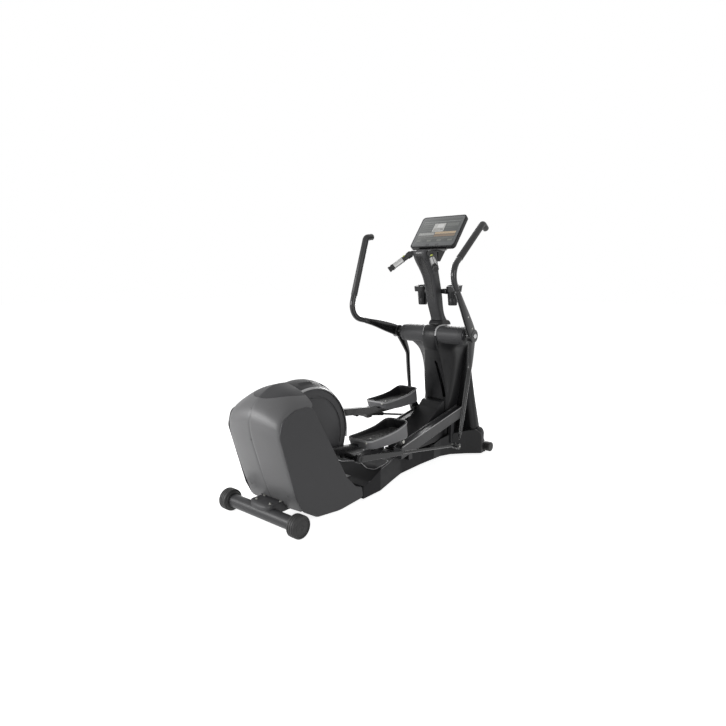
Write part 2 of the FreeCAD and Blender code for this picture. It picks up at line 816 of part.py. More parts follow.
def sideCover():
    """Flat cheek beside the rear housing, rounded all round its outer face."""
    soft = [60, 50, 60, 60, 300, 60, 60, 20, 20, 300, 80, 60, 60]
    outer = sideX + gap + sideT
    plate = profileX(sideLine(), sideX + gap, outer, soft)
    return plate.makeFillet(3, [e for e in plate.Edges if abs(e.CenterOfMass.x - outer) < 0.05])


# ---- drive

def crankAxle():
    return rodX(crankY, crankZ, axleR, -105, 105)


def frameBearings():
    """Ball bearings of the crank axle and of the flywheel shaft, seated in the side plates."""
    parts = []
    for side in (-1, 1):
        x0, x1 = span(side, drivePlateIn - 4, drivePlateOut + 4)
        parts.append(ringX(crankY, crankZ, bearingR, axleR + fit, x0, x1))
        x0, x1 = span(side, drivePlateIn - 2, drivePlateOut + 2)
        parts.append(ringX(wheelY, wheelZ, smallBearingR, wheelShaftR + fit, x0, x1))
    return Part.Compound(parts)


def crankDisc():
    """Disc with a hub, a web behind it and a boss that carries the crank pin."""
    face = discX + discT
    disc = rodX(crankY, crankZ, discR, discX, face)
    hub = rodX(crankY, crankZ, 42, discX - 8, discX + 14)
    boss = rodX(rearPinY, rearPinZ, crankPinR + 1, discX - 6, face + 4)
    web = profileX([(crankY, crankZ + 34), (rearPinY, rearPinZ + 14), (rearPinY, rearPinZ - 14),
                    (crankY, crankZ - 34)], discX - 6, discX)
    pin = rodX(rearPinY, rearPinZ, crankPinR, face + 4, armX - armW / 2 - sidePlay)
    body = disc.fuse(hub).fuse(boss).fuse(web)
    body = body.cut(ringX(crankY, crankZ, discR - 8, discR - 16, face - 1.5, face + 1))
    return body.fuse(pin).cut(rodX(crankY, crankZ, axleR, 60, 120))


def drivePulley():
    """Belt pulley with a thin web, six lightening holes and a long boss on the axle."""
    body = rodX(crankY, crankZ, pulleyR, -pulleyHalf, pulleyHalf)
    body = body.cut(ringX(crankY, crankZ, 128, 44, -20, -4)).cut(ringX(crankY, crankZ, 128, 44, 4, 20))
    for k in range(6):
        turn = k * math.pi / 3
        body = body.cut(rodX(crankY + 86 * math.cos(turn), crankZ + 86 * math.sin(turn), 24, -20, 20))
    body = body.fuse(rodX(crankY, crankZ, 30, -20, 20))
    return body.cut(rodX(crankY, crankZ, axleR, -30, 30))


def flywheel():
    """Heavy rim beside a small belt pulley, both on one shaft."""
    rim = rodX(wheelY, wheelZ, wheelR, 24, 52)
    rim = rim.cut(ringX(wheelY, wheelZ, 86, 28, 10, 32)).cut(ringX(wheelY, wheelZ, 86, 28, 44, 60))
    small = rodX(wheelY, wheelZ, wheelPulleyR, -pulleyHalf, pulleyHalf)
    shaft = rodX(wheelY, wheelZ, wheelShaftR, -drivePlateOut - 2, drivePlateOut + 2)
    return rim.fuse(small).fuse(shaft).removeSplitter()


def driveBelt():
    """Flat belt round the crank pulley and the flywheel pulley, as it lies at rest."""
    outer = beltFace(beltPlay + beltT)
    belt = outer.cut(beltFace(beltPlay)).extrude(v(2 * pulleyHalf - 2, 0, 0))
    belt.translate(v(1 - pulleyHalf, 0, 0))
    return belt


def beltFace(out):
    """The area inside a tight loop round both pulleys, each grown by the same amount."""
    big = pulleyR + out
    small = wheelPulleyR + out
    spread = math.hypot(wheelY - crankY, wheelZ - crankZ)
    base = math.atan2(wheelZ - crankZ, wheelY - crankY)
    off = math.acos((big - small) / spread)

    def onBig(turn):
        return v(0, crankY + big * math.cos(turn), crankZ + big * math.sin(turn))

    def onSmall(turn):
        return v(0, wheelY + small * math.cos(turn), wheelZ + small * math.sin(turn))

    edges = [Part.makeLine(onBig(base + off), onSmall(base + off)),
             Part.Arc(onSmall(base + off), onSmall(base), onSmall(base - off)).toShape(),
             Part.makeLine(onSmall(base - off), onBig(base - off)),
             Part.Arc(onBig(base - off), onBig(base + math.pi), onBig(base + off)).toShape()]
    return Part.Face(Part.Wire(edges))


def brakeUnit():
    """Magnet yoke astride the flywheel rim, on a foot on the frame's floor plate."""
    foot = box(8, 62, -700, -640, sparTop + 8, sparTop + 20)
    yoke = box(14, 62, -690, -612, sparTop + 20, 250)
    return foot.fuse(yoke.cut(rodX(wheelY, wheelZ, wheelR + 2.5, 20.5, 55.5)))


# ---- moving parts, right-hand side at rest

def armLine():
    top = armDepth / 2
    mid = [(rearPinY, rearPinZ), (-600, 332), (-446, 316), (-364, 304), (62, 304)]
    upper = [(y, z + top) for y, z in mid]
    lower = [(y, z - top) for y, z in reversed(mid)]
    return upper, lower


def pedalArm():
    """Beam from the crank to the roller, with a dropped bracket and stub pin for the link."""
    x0 = armX - armW / 2
    x1 = armX + armW / 2
    upper, lower = armLine()
    hub = rodX(rearPinY, rearPinZ, 22, x0, x1)
    nose = profileX([(20, 300), (20, 324), (66, 324), (rollerY + 18, 262), (rollerY + 18, rollerZ - 18),
                     (rollerY - 14, rollerZ - 18)], x0, x1, 10)
    body = profileX(upper + lower, x0, x1, 14).fuse(hub).fuse(nose)
    forkHalf = rollerW / 2 + 1
    room = rodX(rollerY, rollerZ, rollerR + 5, armX - forkHalf, armX + forkHalf)
    room = room.fuse(box(armX - forkHalf, armX + forkHalf, rollerY, rollerY + 60, rollerZ - 60,
                         rollerZ + rollerR + 5))
    body = body.cut(room).fuse(rodX(rollerY, rollerZ, rollerPinR, x0, x1))
    body = body.cut(rodX(rearPinY, rearPinZ, crankPinR + fit, x0 - 5, x0 + 26))
    drop = profileX([(linkY - 46, 312), (linkY + 46, 308), (linkY + 22, linkZ - 16), (linkY - 22, linkZ - 16)],
                    armX - 12, armX + 12, 8)
    stub = rodX(linkY, linkZ, 17, armX, linkX - 15)
    pin = rodX(linkY, linkZ, linkPinR, linkX - 16, linkX + 14)
    return body.fuse(drop).fuse(stub).fuse(pin).removeSplitter()


def roller():
    body = rodX(rollerY, rollerZ, rollerR, armX - rollerW / 2, armX + rollerW / 2)
    return body.makeFillet(3, circles(body)).cut(rodX(rollerY, rollerZ, rollerPinR + fit, armX - 30, armX + 30))


def pedal():
    """Open tub for one shoe, with a raised toe, hollow below its floor."""
    y0 = pedalRear
    y1 = pedalRear + pedalLen
    outer = slab(pedalIn, pedalOut, y0, y1, 280, 440, 34)
    side = [(y0, 318), (y0 + 60, 298), (y0 + 200, 293), (y1 - 70, 296), (y1, 316), (y1, 412),
            (y1 - 40, 406), (y1 - 120, 379), (y0 + 120, 364), (y0, 361)]
    outer = outer.common(profileX(side, 0, 300, [6, 60, 200, 60, 6, 8, 30, 80, 80, 8]))
    foot = slab(pedalIn + 7, pedalOut - 7, y0 + 7, y1 - 7, floorZ + pedalSole, 500, 28)
    below = slab(pedalIn + 6, pedalOut - 6, y0 + 6, y1 - 6, 200, floorZ, 28)
    slot = box(armX - armW / 2 - 1, armX + armW / 2 + 1, y0 - 5, y1 + 5, 200, floorZ)
    return outer.cut(foot).cut(below).cut(slot)


def pedalPad():
    """Rubber mat on the pedal's floor, with grooves across it."""
    low = floorZ + pedalSole
    front = pedalRear + pedalLen - 9
    pad = slab(pedalIn + 9, pedalOut - 9, pedalRear + 9, front, low, low + padT, 26)
    for k in range(10):
        y = pedalRear + 45 + k * 36
        pad = pad.cut(box(pedalIn + 24, pedalOut - 24, y, y + 5, low + padT - 2, low + padT + 2))
    return pad


def linkBar():
    """Link from the pedal arm's stub pin: an eye, a thick bar, a thin rod and a rod end."""
    rear = v(linkX, linkY, linkZ)
    fore = v(rodEndX, pivotY - lowerBack, pivotZ - lowerDrop)
    along = (fore - rear).normalize()
    side = along.cross(v(0, 0, 1)).normalize()
    up = side.cross(along)
    eye = rodX(linkY, linkZ, 27, linkX - 14, linkX + 10)
    eye = eye.makeFillet(2, circles(eye))
    start = rear + along * 16
    thickEnd = barSection(start, side, up, 11, 20)
    bar = Part.makeLoft([thickEnd, barSection(start + along * 340, side, up, 10, 13)], True, True)
    thin = rod(rear + along * 350, fore - along * 12, 9)
    head = rodX(fore.y, fore.z, 19, rodEndX - 9, rodEndX + 7)
    body = eye.fuse(bar).fuse(thin).fuse(head)
    body = body.cut(rodX(linkY, linkZ, linkPinR + fit, linkX - 30, linkX + 30))
    return body.cut(rodX(fore.y, fore.z, armPinR + 0.3, rodEndX - 30, rodEndX + 30)).removeSplitter()


def barSection(p, side, up, a, b):
    pts = [p + side * a + up * b, p - side * a + up * b, p - side * a - up * b, p + side * a - up * b]
    return roundedWire(pts, 4)


def inArm(back, up, x):
    """A point placed from the swing arm's pivot: so far to the rear and so far up."""
    return v(x, pivotY - back, pivotZ + up)


def swingArm():
    """Hub, blade and bent upper tube above; plate, lower tube, eye and link pin below."""
    hub = rodX(pivotY, pivotZ, 46, pivotHubX - 20, pivotHubX + 20)
    hub = hub.makeFillet(4, circles(hub))
    blade = profileX([(pivotY - 44, pivotZ + 6), (pivotY - 100, pivotZ + 96), (pivotY - 220, pivotZ + 272),
                      (pivotY - 190, pivotZ + 296), (pivotY - 60, pivotZ + 152), (pivotY + 34, pivotZ + 22)],
                     pivotHubX - 12, pivotHubX + 20, [10, 60, 12, 12, 60, 10])
    upper = bentTube([inArm(150, 214, 327), inArm(324, 431, 339), inArm(-122, 761, 309),
                      inArm(-171, 731, 306)], [0, 105, 24, 0], tubeR)
    plate = profileX([(pivotY + 43, pivotZ - 4), (pivotY - 32, pivotZ - 18), (pivotY - 32, pivotZ - 222),
                      (pivotY + 8, pivotZ - 222), (pivotY + 36, pivotZ - 90)], pivotHubX - 20, pivotHubX + 8,
                     [8, 8, 12, 12, 60])
    eyeY = pivotY - lowerBack
    eyeZ = pivotZ - lowerDrop
    lower = rod(inArm(13, -205, 315), v(lowerX, eyeY, eyeZ), lowerTubeR)
    eye = rodX(eyeY, eyeZ, 20, lowerX - 14, lowerX + 12)
    eye = eye.makeFillet(2, circles(eye))
    pin = rodX(eyeY, eyeZ, armPinR, rodEndX + 7 + sidePlay, lowerX)
    body = hub.fuse(blade).fuse(upper).fuse(plate).fuse(lower).fuse(eye).fuse(pin)
    bore = rodX(pivotY, pivotZ, shaftR + fit, pivotHubX - 40, pivotHubX + 28)
    return body.cut(bore).removeSplitter()


def grip():
    p = inArm(324, 431, 339)
    q = inArm(-122, 761, 309)
    along = (q - p).normalize()
    start = p + along * 150
    length = (q - p).Length - 150 - 46
    sleeve = Part.makeCylinder(tubeR + gripT, length, start, along)
    sleeve = sleeve.makeFillet(1.5, circles(sleeve))
    return sleeve.cut(Part.makeCylinder(tubeR + sleevePlay, length + 10, start - along * 5, along))


# ---- build every node
shell = housingShell()
save("main_frame", mainFrame())
save("rear_stabiliser_tube", rearStabiliser())
cap = rearCap()
save("rear_stabiliser_caps", Part.Compound([cap, mirrored(cap)]))
save("rear_mount_saddle", rearMount())
save("front_stabiliser", frontStabiliser())
cap = frontCap()
save("front_stabiliser_caps", Part.Compound([cap, mirrored(cap)]))
save("levelling_foot_right", levellingFoot(1))
save("levelling_foot_left", levellingFoot(-1))
save("transport_wheel_right", transportWheel(1))
save("transport_wheel_left", transportWheel(-1))
rail = guideRail()
save("guide_rails", Part.Compound([rail, mirrored(rail)]))
save("ramp_cover", rampCover())
save("rear_base_cover", rearBaseCover())
save("front_base_cover", frontBaseCover())
save("tower_rear_cover", towerRear())
save("tower_front_cover", towerFront())
save("pivot_shafts", Part.Compound([pivotShaft(1), pivotShaft(-1)]))
save("cross_tube_cover", crossCover())
save("mast_post", mastPost())
save("mast_cover", mastCover())
save("mast_collar", mastCollar())
save("fixed_handlebar", fixedBar())
save("remote_button_right", remoteButton(1))
save("remote_button_left", remoteButton(-1))
save("pulse_sensor_plates", sensorPlates())
save("fixed_handlebar_end_caps", barEndCaps())
cup = cupHolder()
save("cup_holders", Part.Compound([cup, mirrored(cup)]))
save("console_housing", consoleHousing())
save("console_bezel", consoleBezel())
save("console_screen", consoleScreen())
for label, x in zip(("left", "right"), keySpots):
    save("console_key_" + label, consoleKey(x))
save("console_stand_cover", consoleStand())
save("rear_cover", rearCover(shell))
save("top_lid", topLid(shell))
save("drum_hoop", drumHoop())
side = sideCover()
save("side_cover_right", side)
save("side_cover_left", mirrored(side))
save("frame_bearings", frameBearings())
save("crank_axle", crankAxle())
disc = crankDisc()
save("crank_disc_right", disc)
turned = mirrored(disc)
turned.rotate(v(0, crankY, crankZ), v(1, 0, 0), 180)
save("crank_disc_left", turned)
save("drive_pulley", drivePulley())
save("flywheel", flywheel())
save("drive_belt", driveBelt())
save("eddy_brake", brakeUnit())
pair("pedal_arm", pedalArm(), strideShift)
pair("roller", roller(), strideShift)
pair("pedal", pedal(), strideShift)
pair("pedal_pad", pedalPad(), strideShift)
pair("link", linkBar(), linkShift)
pair("swing_arm", swingArm(), armShift)
pair("grip", grip(), armShift)
print(len(os.listdir("parts")), "files")
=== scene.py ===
import bmesh
import json
import math
import bpy
from mathutils import Euler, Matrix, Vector


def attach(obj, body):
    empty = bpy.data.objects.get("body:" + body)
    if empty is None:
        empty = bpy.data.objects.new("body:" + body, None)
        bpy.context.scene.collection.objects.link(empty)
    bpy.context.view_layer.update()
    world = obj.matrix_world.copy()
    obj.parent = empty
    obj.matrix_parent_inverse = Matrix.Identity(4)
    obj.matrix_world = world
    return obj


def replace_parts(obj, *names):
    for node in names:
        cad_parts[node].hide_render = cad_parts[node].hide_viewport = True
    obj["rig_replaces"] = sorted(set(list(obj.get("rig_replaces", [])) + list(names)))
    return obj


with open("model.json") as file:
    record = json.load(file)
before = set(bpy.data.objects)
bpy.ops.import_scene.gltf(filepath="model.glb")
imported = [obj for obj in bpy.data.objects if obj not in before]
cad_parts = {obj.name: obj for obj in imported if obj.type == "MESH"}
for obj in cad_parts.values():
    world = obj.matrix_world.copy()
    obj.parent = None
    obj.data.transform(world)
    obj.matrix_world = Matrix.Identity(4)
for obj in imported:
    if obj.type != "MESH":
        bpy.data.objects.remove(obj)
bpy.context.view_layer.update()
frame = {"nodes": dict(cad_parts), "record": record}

nodes = frame["nodes"]
mm = 0.001
axes = {"X": Vector((1, 0, 0)), "Y": Vector((0, 1, 0)), "Z": Vector((0, 0, 1))}
facing = {"X": (0, math.pi / 2, 0), "Z": (0, 0, 0)}
crankY, crankZ = -694, 424                   # middle of the crank, in mm
pivotY, pivotZ = 629, 907                    # middle of the cross tube, in mm
crankSpot = Vector((0, crankY, crankZ)) * mm
pivotSpot = Vector((0, pivotY, pivotZ)) * mm
strideMove = (0, 0.520, 0.104)               # from the right pedal to the left one at rest, in m
bothSides = ((-1, "Left"), (1, "Right"))


def toLinear(hexText):
    # sRGB hex to the linear values that shaders take
    parts = [int(hexText[i:i + 2], 16) / 255 for i in (0, 2, 4)]
    return tuple(c / 12.92 if c <= 0.04045 else ((c + 0.055) / 1.055) ** 2.4 for c in parts) + (1.0,)


def addNode(tree, kind, settings=None, links=None):
    # settings fill the node's own values or its inputs; links join inputs to (node, output)
    node = tree.nodes.new(kind)
    for key, value in (settings or {}).items():
        if hasattr(node, str(key)):
            setattr(node, key, value)
        else:
            node.inputs[key].default_value = value
    for key, (source, output) in (links or {}).items():
        tree.links.new(source.outputs[output], node.inputs[key])
    return node


def newMaterial(name):
    made = bpy.data.materials.new(name)
    made.use_nodes = True
    made.node_tree.nodes.clear()
    return made, made.node_tree


def solidFinish(name, look):
    # a slow drift between two close colours, a fine grain in the surface, and edges painted paler, partly as
    # wear and partly as a painted highlight
    made, tree = newMaterial(name)
    plain, other, wornAndHighlitEdge = [toLinear(one) for one in look["hex"]]
    grainWide, grainDeep = look["grainMm"]
    place = addNode(tree, "ShaderNodeTexCoord")
    stretched = addNode(tree, "ShaderNodeMapping", {"Scale": look["stretch"]},
                        {"Vector": (place, "Object")})
    drift = addNode(tree, "ShaderNodeTexNoise", {"Scale": 1000 / look["driftMm"], "Detail": 4.0},
                    {"Vector": (place, "Object")})
    grain = addNode(tree, "ShaderNodeTexNoise", {"Scale": 1000 / grainWide, "Detail": 3.0},
                    {"Vector": (stretched, "Vector")})
    body = addNode(tree, "ShaderNodeMix", {"data_type": "RGBA", 6: plain, 7: other}, {0: (drift, "Fac")})
    rounded = addNode(tree, "ShaderNodeBevel", {"samples": 4, "Radius": look["edgeMm"] * mm})
    flat = addNode(tree, "ShaderNodeNewGeometry")
    turnAway = addNode(tree, "ShaderNodeVectorMath", {"operation": "DOT_PRODUCT"},
                       {0: (rounded, "Normal"), 1: (flat, "Normal")})
    # where the bevelled normal turns away from the flat one, the colour is painted paler: wear, and a
    # painted highlight on the edge
    onEdge = addNode(tree, "ShaderNodeMapRange",
                     {"From Min": 0.99, "From Max": 0.8, "To Min": 0.0, "To Max": look["edgeWearAndHighlight"]},
                     {"Value": (turnAway, "Value")})
    colour = addNode(tree, "ShaderNodeMix", {"data_type": "RGBA", 7: wornAndHighlitEdge},
                     {0: (onEdge, "Result"), 6: (body, 2)})
    rough = addNode(tree, "ShaderNodeMapRange",
                    {"From Min": 0.3, "From Max": 0.7, "To Min": look["rough"] - look["roughDrift"],
                     "To Max": look["rough"] + look["roughDrift"]}, {"Value": (drift, "Fac")})
    bump = addNode(tree, "ShaderNodeBump", {"Strength": 0.5, "Distance": grainDeep * mm},
                   {"Height": (grain, "Fac")})
    if look["softEdges"]:
        tree.links.new(rounded.outputs["Normal"], bump.inputs["Normal"])
    shader = addNode(tree, "ShaderNodeBsdfPrincipled",
                     {"Metallic": look["metallic"], "Specular IOR Level": look["specular"],
                      "Coat Weight": look["coat"], "Coat Roughness": look["coatRough"]},
                     {"Base Color": (colour, 2), "Roughness": (rough, "Result"),
                      "Normal": (bump, "Normal")})
    addNode(tree, "ShaderNodeOutputMaterial", {}, {"Surface": (shader, "BSDF")})
    return made


# what a finish has where its own row says nothing
usualLook = {"stretch": (1, 1, 1), "edgeMm": 1.5, "edgeWearAndHighlight": 0.25, "roughDrift": 0.04, "metallic": 0.0,
             "specular": 0.5, "coat": 0.0, "coatRough": 0.1, "softEdges": True}

looks = {
    # hex is the plain colour, the one that it drifts to and the paler one painted on its edges, as wear and
    # as a painted highlight;
    # grainMm is the grain's width and depth
    # satin-textured ABS of the rear cover: soft broad highlights, faint spark grain
    "mouldedAbsGrey": {"hex": ("616162", "666667", "8a8a8a"), "rough": 0.4, "grainMm": (1.0, 0.02),
                       "driftMm": 60, "specular": 0.4},
    # the same plastic in dark grey with a deeper texture: flatter, no clear reflections
    "texturedAbsDark": {"hex": ("414143", "464647", "6a6a6a"), "rough": 0.46, "grainMm": (1.8, 0.015),
                        "driftMm": 50, "specular": 0.28, "edgeMm": 1.0},
    # the rear base cover: the same plastic in a darker batch, matt from above; in the arm wells it is
    # painted shade
    "texturedAbsCoal": {"hex": ("242426", "29292a", "5c5c5c"), "rough": 0.55, "grainMm": (1.8, 0.015),
                        "driftMm": 50, "specular": 0.1, "edgeMm": 1.0},
    # the pedal tubs: mid grey ABS whose edges are painted pale, as scuffs and as a painted highlight
    "mouldedAbsPedal": {"hex": ("757577", "7b7b7d", "b6b6b6"), "rough": 0.42, "grainMm": (1.6, 0.015),
                        "driftMm": 40, "specular": 0.35, "edgeMm": 2.4, "edgeWearAndHighlight": 0.7},
    # the outer roll of a tub's rim and the edge of the arm wells: the same plastic, painted pale as a
    # highlight
    "paleHighlightAbs": {"hex": ("a4a4a5", "adadae", "c8c8c8"), "rough": 0.32, "grainMm": (1.6, 0.01),
                     "driftMm": 40, "specular": 0.4, "softEdges": False},
    # black ABS covers: satin, shows long soft streaks of light on its curves
    "satinAbsBlack": {"hex": ("1b1b1d", "202021", "4e4e4e"), "rough": 0.36, "grainMm": (1.8, 0.012),
                      "driftMm": 45, "specular": 0.26, "edgeMm": 0.8, "softEdges": False},
    # powder-coated steel: dark with a fine orange-peel skin
    "powderCoatBlack": {"hex": ("303032", "353537", "4d4d4e"), "rough": 0.4, "grainMm": (2.4, 0.025),
                        "driftMm": 40, "specular": 0.32, "edgeMm": 1.0},
    # wet-sprayed gloss paint on the arms: sharp streaks under a clear coat
    "glossPaintBlack": {"hex": ("161618", "1b1b1c", "4a4a4c"), "rough": 0.24, "grainMm": (4.0, 0.008),
                        "driftMm": 70, "specular": 0.35, "coat": 0.3, "coatRough": 0.1, "edgeMm": 0.8,
                        "softEdges": False},
    # turned and ground steel: bright, with fine rings across it
    "turnedSteel": {"hex": ("b4b4b5", "c4c4c4", "e0e0e0"), "rough": 0.24, "grainMm": (0.8, 0.01),
                    "driftMm": 15, "metallic": 1.0, "stretch": (12, 1, 1), "edgeMm": 0.6},
    # brushed stainless sheet of the pulse plates: a soft grain along the plate
    "brushedStainless": {"hex": ("a6a6a5", "b8b8b7", "dcdcdc"), "rough": 0.3, "grainMm": (0.9, 0.01),
                         "driftMm": 12, "metallic": 1.0, "stretch": (1, 8, 8), "edgeMm": 0.5},
    # grey baked enamel of the rails; all its edges are painted pale, as a painted highlight and as wear
    "bakedEnamelGrey": {"hex": ("2c2c2e", "323234", "b8b8b8"), "rough": 0.36, "grainMm": (2.0, 0.012),
                        "driftMm": 35, "edgeWearAndHighlight": 0.9, "edgeMm": 2.2},
    # grey cast iron with a turned face: dull metal with a visible grain
    "turnedCastIron": {"hex": ("6b6b6c", "575758", "9a9a9a"), "rough": 0.42, "grainMm": (1.4, 0.05),
                       "driftMm": 9, "metallic": 0.9},
    # moulded black rubber: greyish, slightly dusty, no sharp highlight
    "mouldedRubber": {"hex": ("2a2a2a", "303030", "4c4c4c"), "rough": 0.58, "grainMm": (2.0, 0.03),
                      "driftMm": 20, "specular": 0.4, "edgeMm": 0.8, "softEdges": False},
    # foamed vinyl sleeve of the hand grips: fine pores, soft sheen
    "foamedVinyl": {"hex": ("232324", "292929", "3a3a3b"), "rough": 0.4, "grainMm": (2.4, 0.03),
                    "driftMm": 18, "specular": 0.42, "edgeMm": 0.8, "softEdges": False},
    # yellow-green silicone of the remote buttons: soft and slightly cloudy
    "siliconeYellow": {"hex": ("c2d04a", "cdd95e", "e0e88a"), "rough": 0.42, "grainMm": (1.0, 0.01),
                       "driftMm": 8, "edgeMm": 0.8},
    # soft-touch painted keys
    "softTouchGrey": {"hex": ("626263", "69696a", "8c8c8c"), "rough": 0.5, "grainMm": (0.9, 0.01),
                      "driftMm": 8, "edgeMm": 0.8},
    # tinted glass over a dark display: a hard clear reflection
    "tintedGlass": {"hex": ("3a3c3d", "3e4041", "505253"), "rough": 0.12, "roughDrift": 0.01,
                    "grainMm": (4.0, 0.002), "driftMm": 90, "coat": 0.4, "coatRough": 0.04},
    # zinc-plated fasteners: small, bright, a little warm
    "zincPlate": {"hex": ("9d9d98", "b3b3ad", "d8d8d2"), "rough": 0.3, "grainMm": (0.8, 0.01),
                  "driftMm": 4, "metallic": 1.0, "edgeMm": 0.4},
    # satin silver paint on the trim edges, also laid on edges as a painted highlight
    "silverTrimAndHighlight": {"hex": ("b2b2b3", "bababa", "dcdcdc"), "rough": 0.32, "grainMm": (1.2, 0.01),
                    "driftMm": 30, "metallic": 0.3},
}
finishes = {name: solidFinish(name, {**usualLook, **look}) for name, look in looks.items()}

slotFinish = {
    "frame_steel": "powderCoatBlack", "arm_steel": "glossPaintBlack", "bright_steel": "turnedSteel",
    "sensor_steel": "brushedStainless", "rail_steel": "bakedEnamelGrey", "cast_wheel": "turnedCastIron",
    "grey_shell": "mouldedAbsGrey", "dark_shell": "texturedAbsDark", "black_shell": "satinAbsBlack",
    "screen": "tintedGlass", "pad_rubber": "mouldedRubber", "grip_foam": "foamedVinyl",
    "tyre_rubber": "mouldedRubber", "button_plastic": "siliconeYellow", "key_plastic": "softTouchGrey",
    "belt_rubber": "mouldedRubber",
}
# covers that are darker than the other pieces of their slot
darker = {"console_stand_cover": "satinAbsBlack", "rear_base_cover": "texturedAbsCoal",
          "front_base_cover": "satinAbsBlack", "tower_front_cover": "satinAbsBlack",
          "ramp_cover": "satinAbsBlack"}


def setFinish(piece, finish):
    piece.data.materials.clear()
    piece.data.materials.append(finishes[finish])


for row in frame["record"]["subparts"]:
    setFinish(nodes[row["node"]], darker.get(row["node"], slotFinish[row["material_slot"]]))
print("materials done")


# body, finish and slot of the fixed covers
blackCover = ("frame", "satinAbsBlack", "black_shell")
darkCover = ("frame", "texturedAbsDark", "dark_shell")


def clearSelection():
    if bpy.context.mode != "OBJECT":
        bpy.ops.object.mode_set(mode="OBJECT")
    bpy.ops.object.select_all(action="DESELECT")


def focus(piece):
    # an operator now acts on this piece alone
    clearSelection()
    piece.select_set(True)
    bpy.context.view_layer.objects.active = piece


def openAll(piece):
    # in edit mode, with all of the piece selected
    focus(piece)
    bpy.ops.object.mode_set(mode="EDIT")
    bpy.ops.mesh.select_all(action="SELECT")


def openPiece(kind, place, turn=(0, 0, 0), **sizes):
    # a primitive with its place in its mesh, left open in edit mode and selected all over
    clearSelection()
    adders = {"cube": bpy.ops.mesh.primitive_cube_add, "rod": bpy.ops.mesh.primitive_cylinder_add,
              "ring": bpy.ops.mesh.primitive_circle_add, "grid": bpy.ops.mesh.primitive_grid_add}
    adders[kind](location=place, rotation=turn, **sizes)
    bpy.ops.object.transform_apply(location=True, rotation=True, scale=True)
    bpy.ops.object.mode_set(mode="EDIT")
    return bpy.context.active_object


def pick(piece, part, test):
    # part is VERT, EDGE or FACE; the test gets a middle point in mm, and a face's normal or an edge's run
    bpy.ops.mesh.select_mode(type=part)
    bpy.ops.mesh.select_all(action="DESELECT")
    mesh = bmesh.from_edit_mesh(piece.data)
    if part == "VERT":
        found = [one for one in mesh.verts if test(one.co * 1000)]
    elif part == "EDGE":
        ends = [(one, one.verts[0].co, one.verts[1].co) for one in mesh.edges]
        found = [one for one, a, b in ends if test((a + b) * 500, (b - a).normalized())]
    else:
        found = [one for one in mesh.faces if test(one.calc_center_median() * 1000, one.normal)]
    for one in found:
        one.select_set(True)
    mesh.select_flush_mode()
    bmesh.update_edit_mesh(piece.data)


def shift(x, y, z):
    bpy.ops.transform.translate(value=(x * mm, y * mm, z * mm))


def grow(factors, about):
    bpy.ops.transform.resize(value=factors, center_override=Vector(about))


def pull(x, y, z):
    # extrude what is selected by this much, in mm
    bpy.ops.mesh.extrude_region_move(TRANSFORM_OT_translate={"value": (x * mm, y * mm, z * mm)})


def openBlock(place, size):
    # a block with its middle and size in mm
    return openPiece("cube", Vector(place) * mm, size=1, scale=Vector(size) * mm)


def openRoundBlock(place, size, corner, segments):
    # a block whose upright edges are rounded
    piece = openBlock(place, size)
    pick(piece, "EDGE", lambda c, run: abs(run.z) > 0.9)
    bpy.ops.mesh.bevel(offset=corner * mm, segments=segments, affect="EDGES")
    return piece


def turnOnLathe(axis, centre, rows, sides):
    # a turned shape drawn from row to row; a row is (place along the axis, radius) in mm
    unit = axes[axis]
    foot = centre - unit * centre.dot(unit)
    piece = openPiece("ring", foot + unit * rows[0][0] * mm, facing[axis], radius=rows[0][1] * mm,
                      vertices=sides, fill_type="NGON")
    for (a0, r0), (a1, r1) in zip(rows, rows[1:]):
        pull(*(unit * (a1 - a0)))
        if abs(r1 - r0) > 0.0001:
            grow([1 if unit[i] else r1 / r0 for i in range(3)], foot + unit * a1 * mm)
    return piece


def useModifier(piece, kind, **settings):
    focus(piece)
    mod = piece.modifiers.new(kind.lower(), kind)
    for key, value in settings.items():
        setattr(mod, key, value)
    bpy.ops.object.modifier_apply(modifier=mod.name)


def bevelEdges(piece, width, segments, angle):
    # every edge that turns by more than the angle gets a bevel of this width in mm
    useModifier(piece, "BEVEL", width=width * mm, segments=segments, limit_method="ANGLE",
                angle_limit=math.radians(angle))


def smoothBy(piece, angle):
    focus(piece)
    bpy.ops.object.shade_smooth_by_angle(angle=math.radians(angle))


def finishPiece(piece, name, body, finish, slot, bevel=0.0, segments=2, levels=0, wall=0.0, smooth=35):
    openAll(piece)
    bpy.ops.mesh.remove_doubles(threshold=0.00002)
    bpy.ops.mesh.normals_make_consistent(inside=False)
    bpy.ops.object.mode_set(mode="OBJECT")
    if levels:
        useModifier(piece, "SUBSURF", levels=levels, render_levels=levels)
    if wall:
        useModifier(piece, "SOLIDIFY", thickness=wall * mm, offset=-1)
    if bevel:
        bevelEdges(piece, bevel, segments, 30)
    smoothBy(piece, smooth)
    piece.name = name
    piece.data.name = name
    setFinish(piece, finish)
    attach(piece, body)
    return piece


def cutWith(piece, cutter, operation="DIFFERENCE"):
    # a boolean cut, applied at once
    useModifier(piece, "BOOLEAN", object=cutter, operation=operation, solver="EXACT")
    bpy.data.objects.remove(cutter)


def copyPiece(source, name, body, move=(0, 0, 0), mirror=False, turn=None):
    # a copy with its own mesh, mirrored across the middle, turned about the origin, then moved
    focus(source)
    bpy.ops.object.duplicate()
    made = bpy.context.active_object
    made.parent = None
    if "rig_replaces" in made:
        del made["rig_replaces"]
    if mirror:
        made.scale = (-1, 1, 1)
    if turn:
        made.rotation_euler = turn
    made.location = move
    bpy.ops.object.transform_apply(location=True, rotation=True, scale=True)
    if mirror:
        openAll(made)
        bpy.ops.mesh.normals_make_consistent(inside=False)
        bpy.ops.object.mode_set(mode="OBJECT")
    made.name = name
    made.data.name = name
    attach(made, body)
    return made


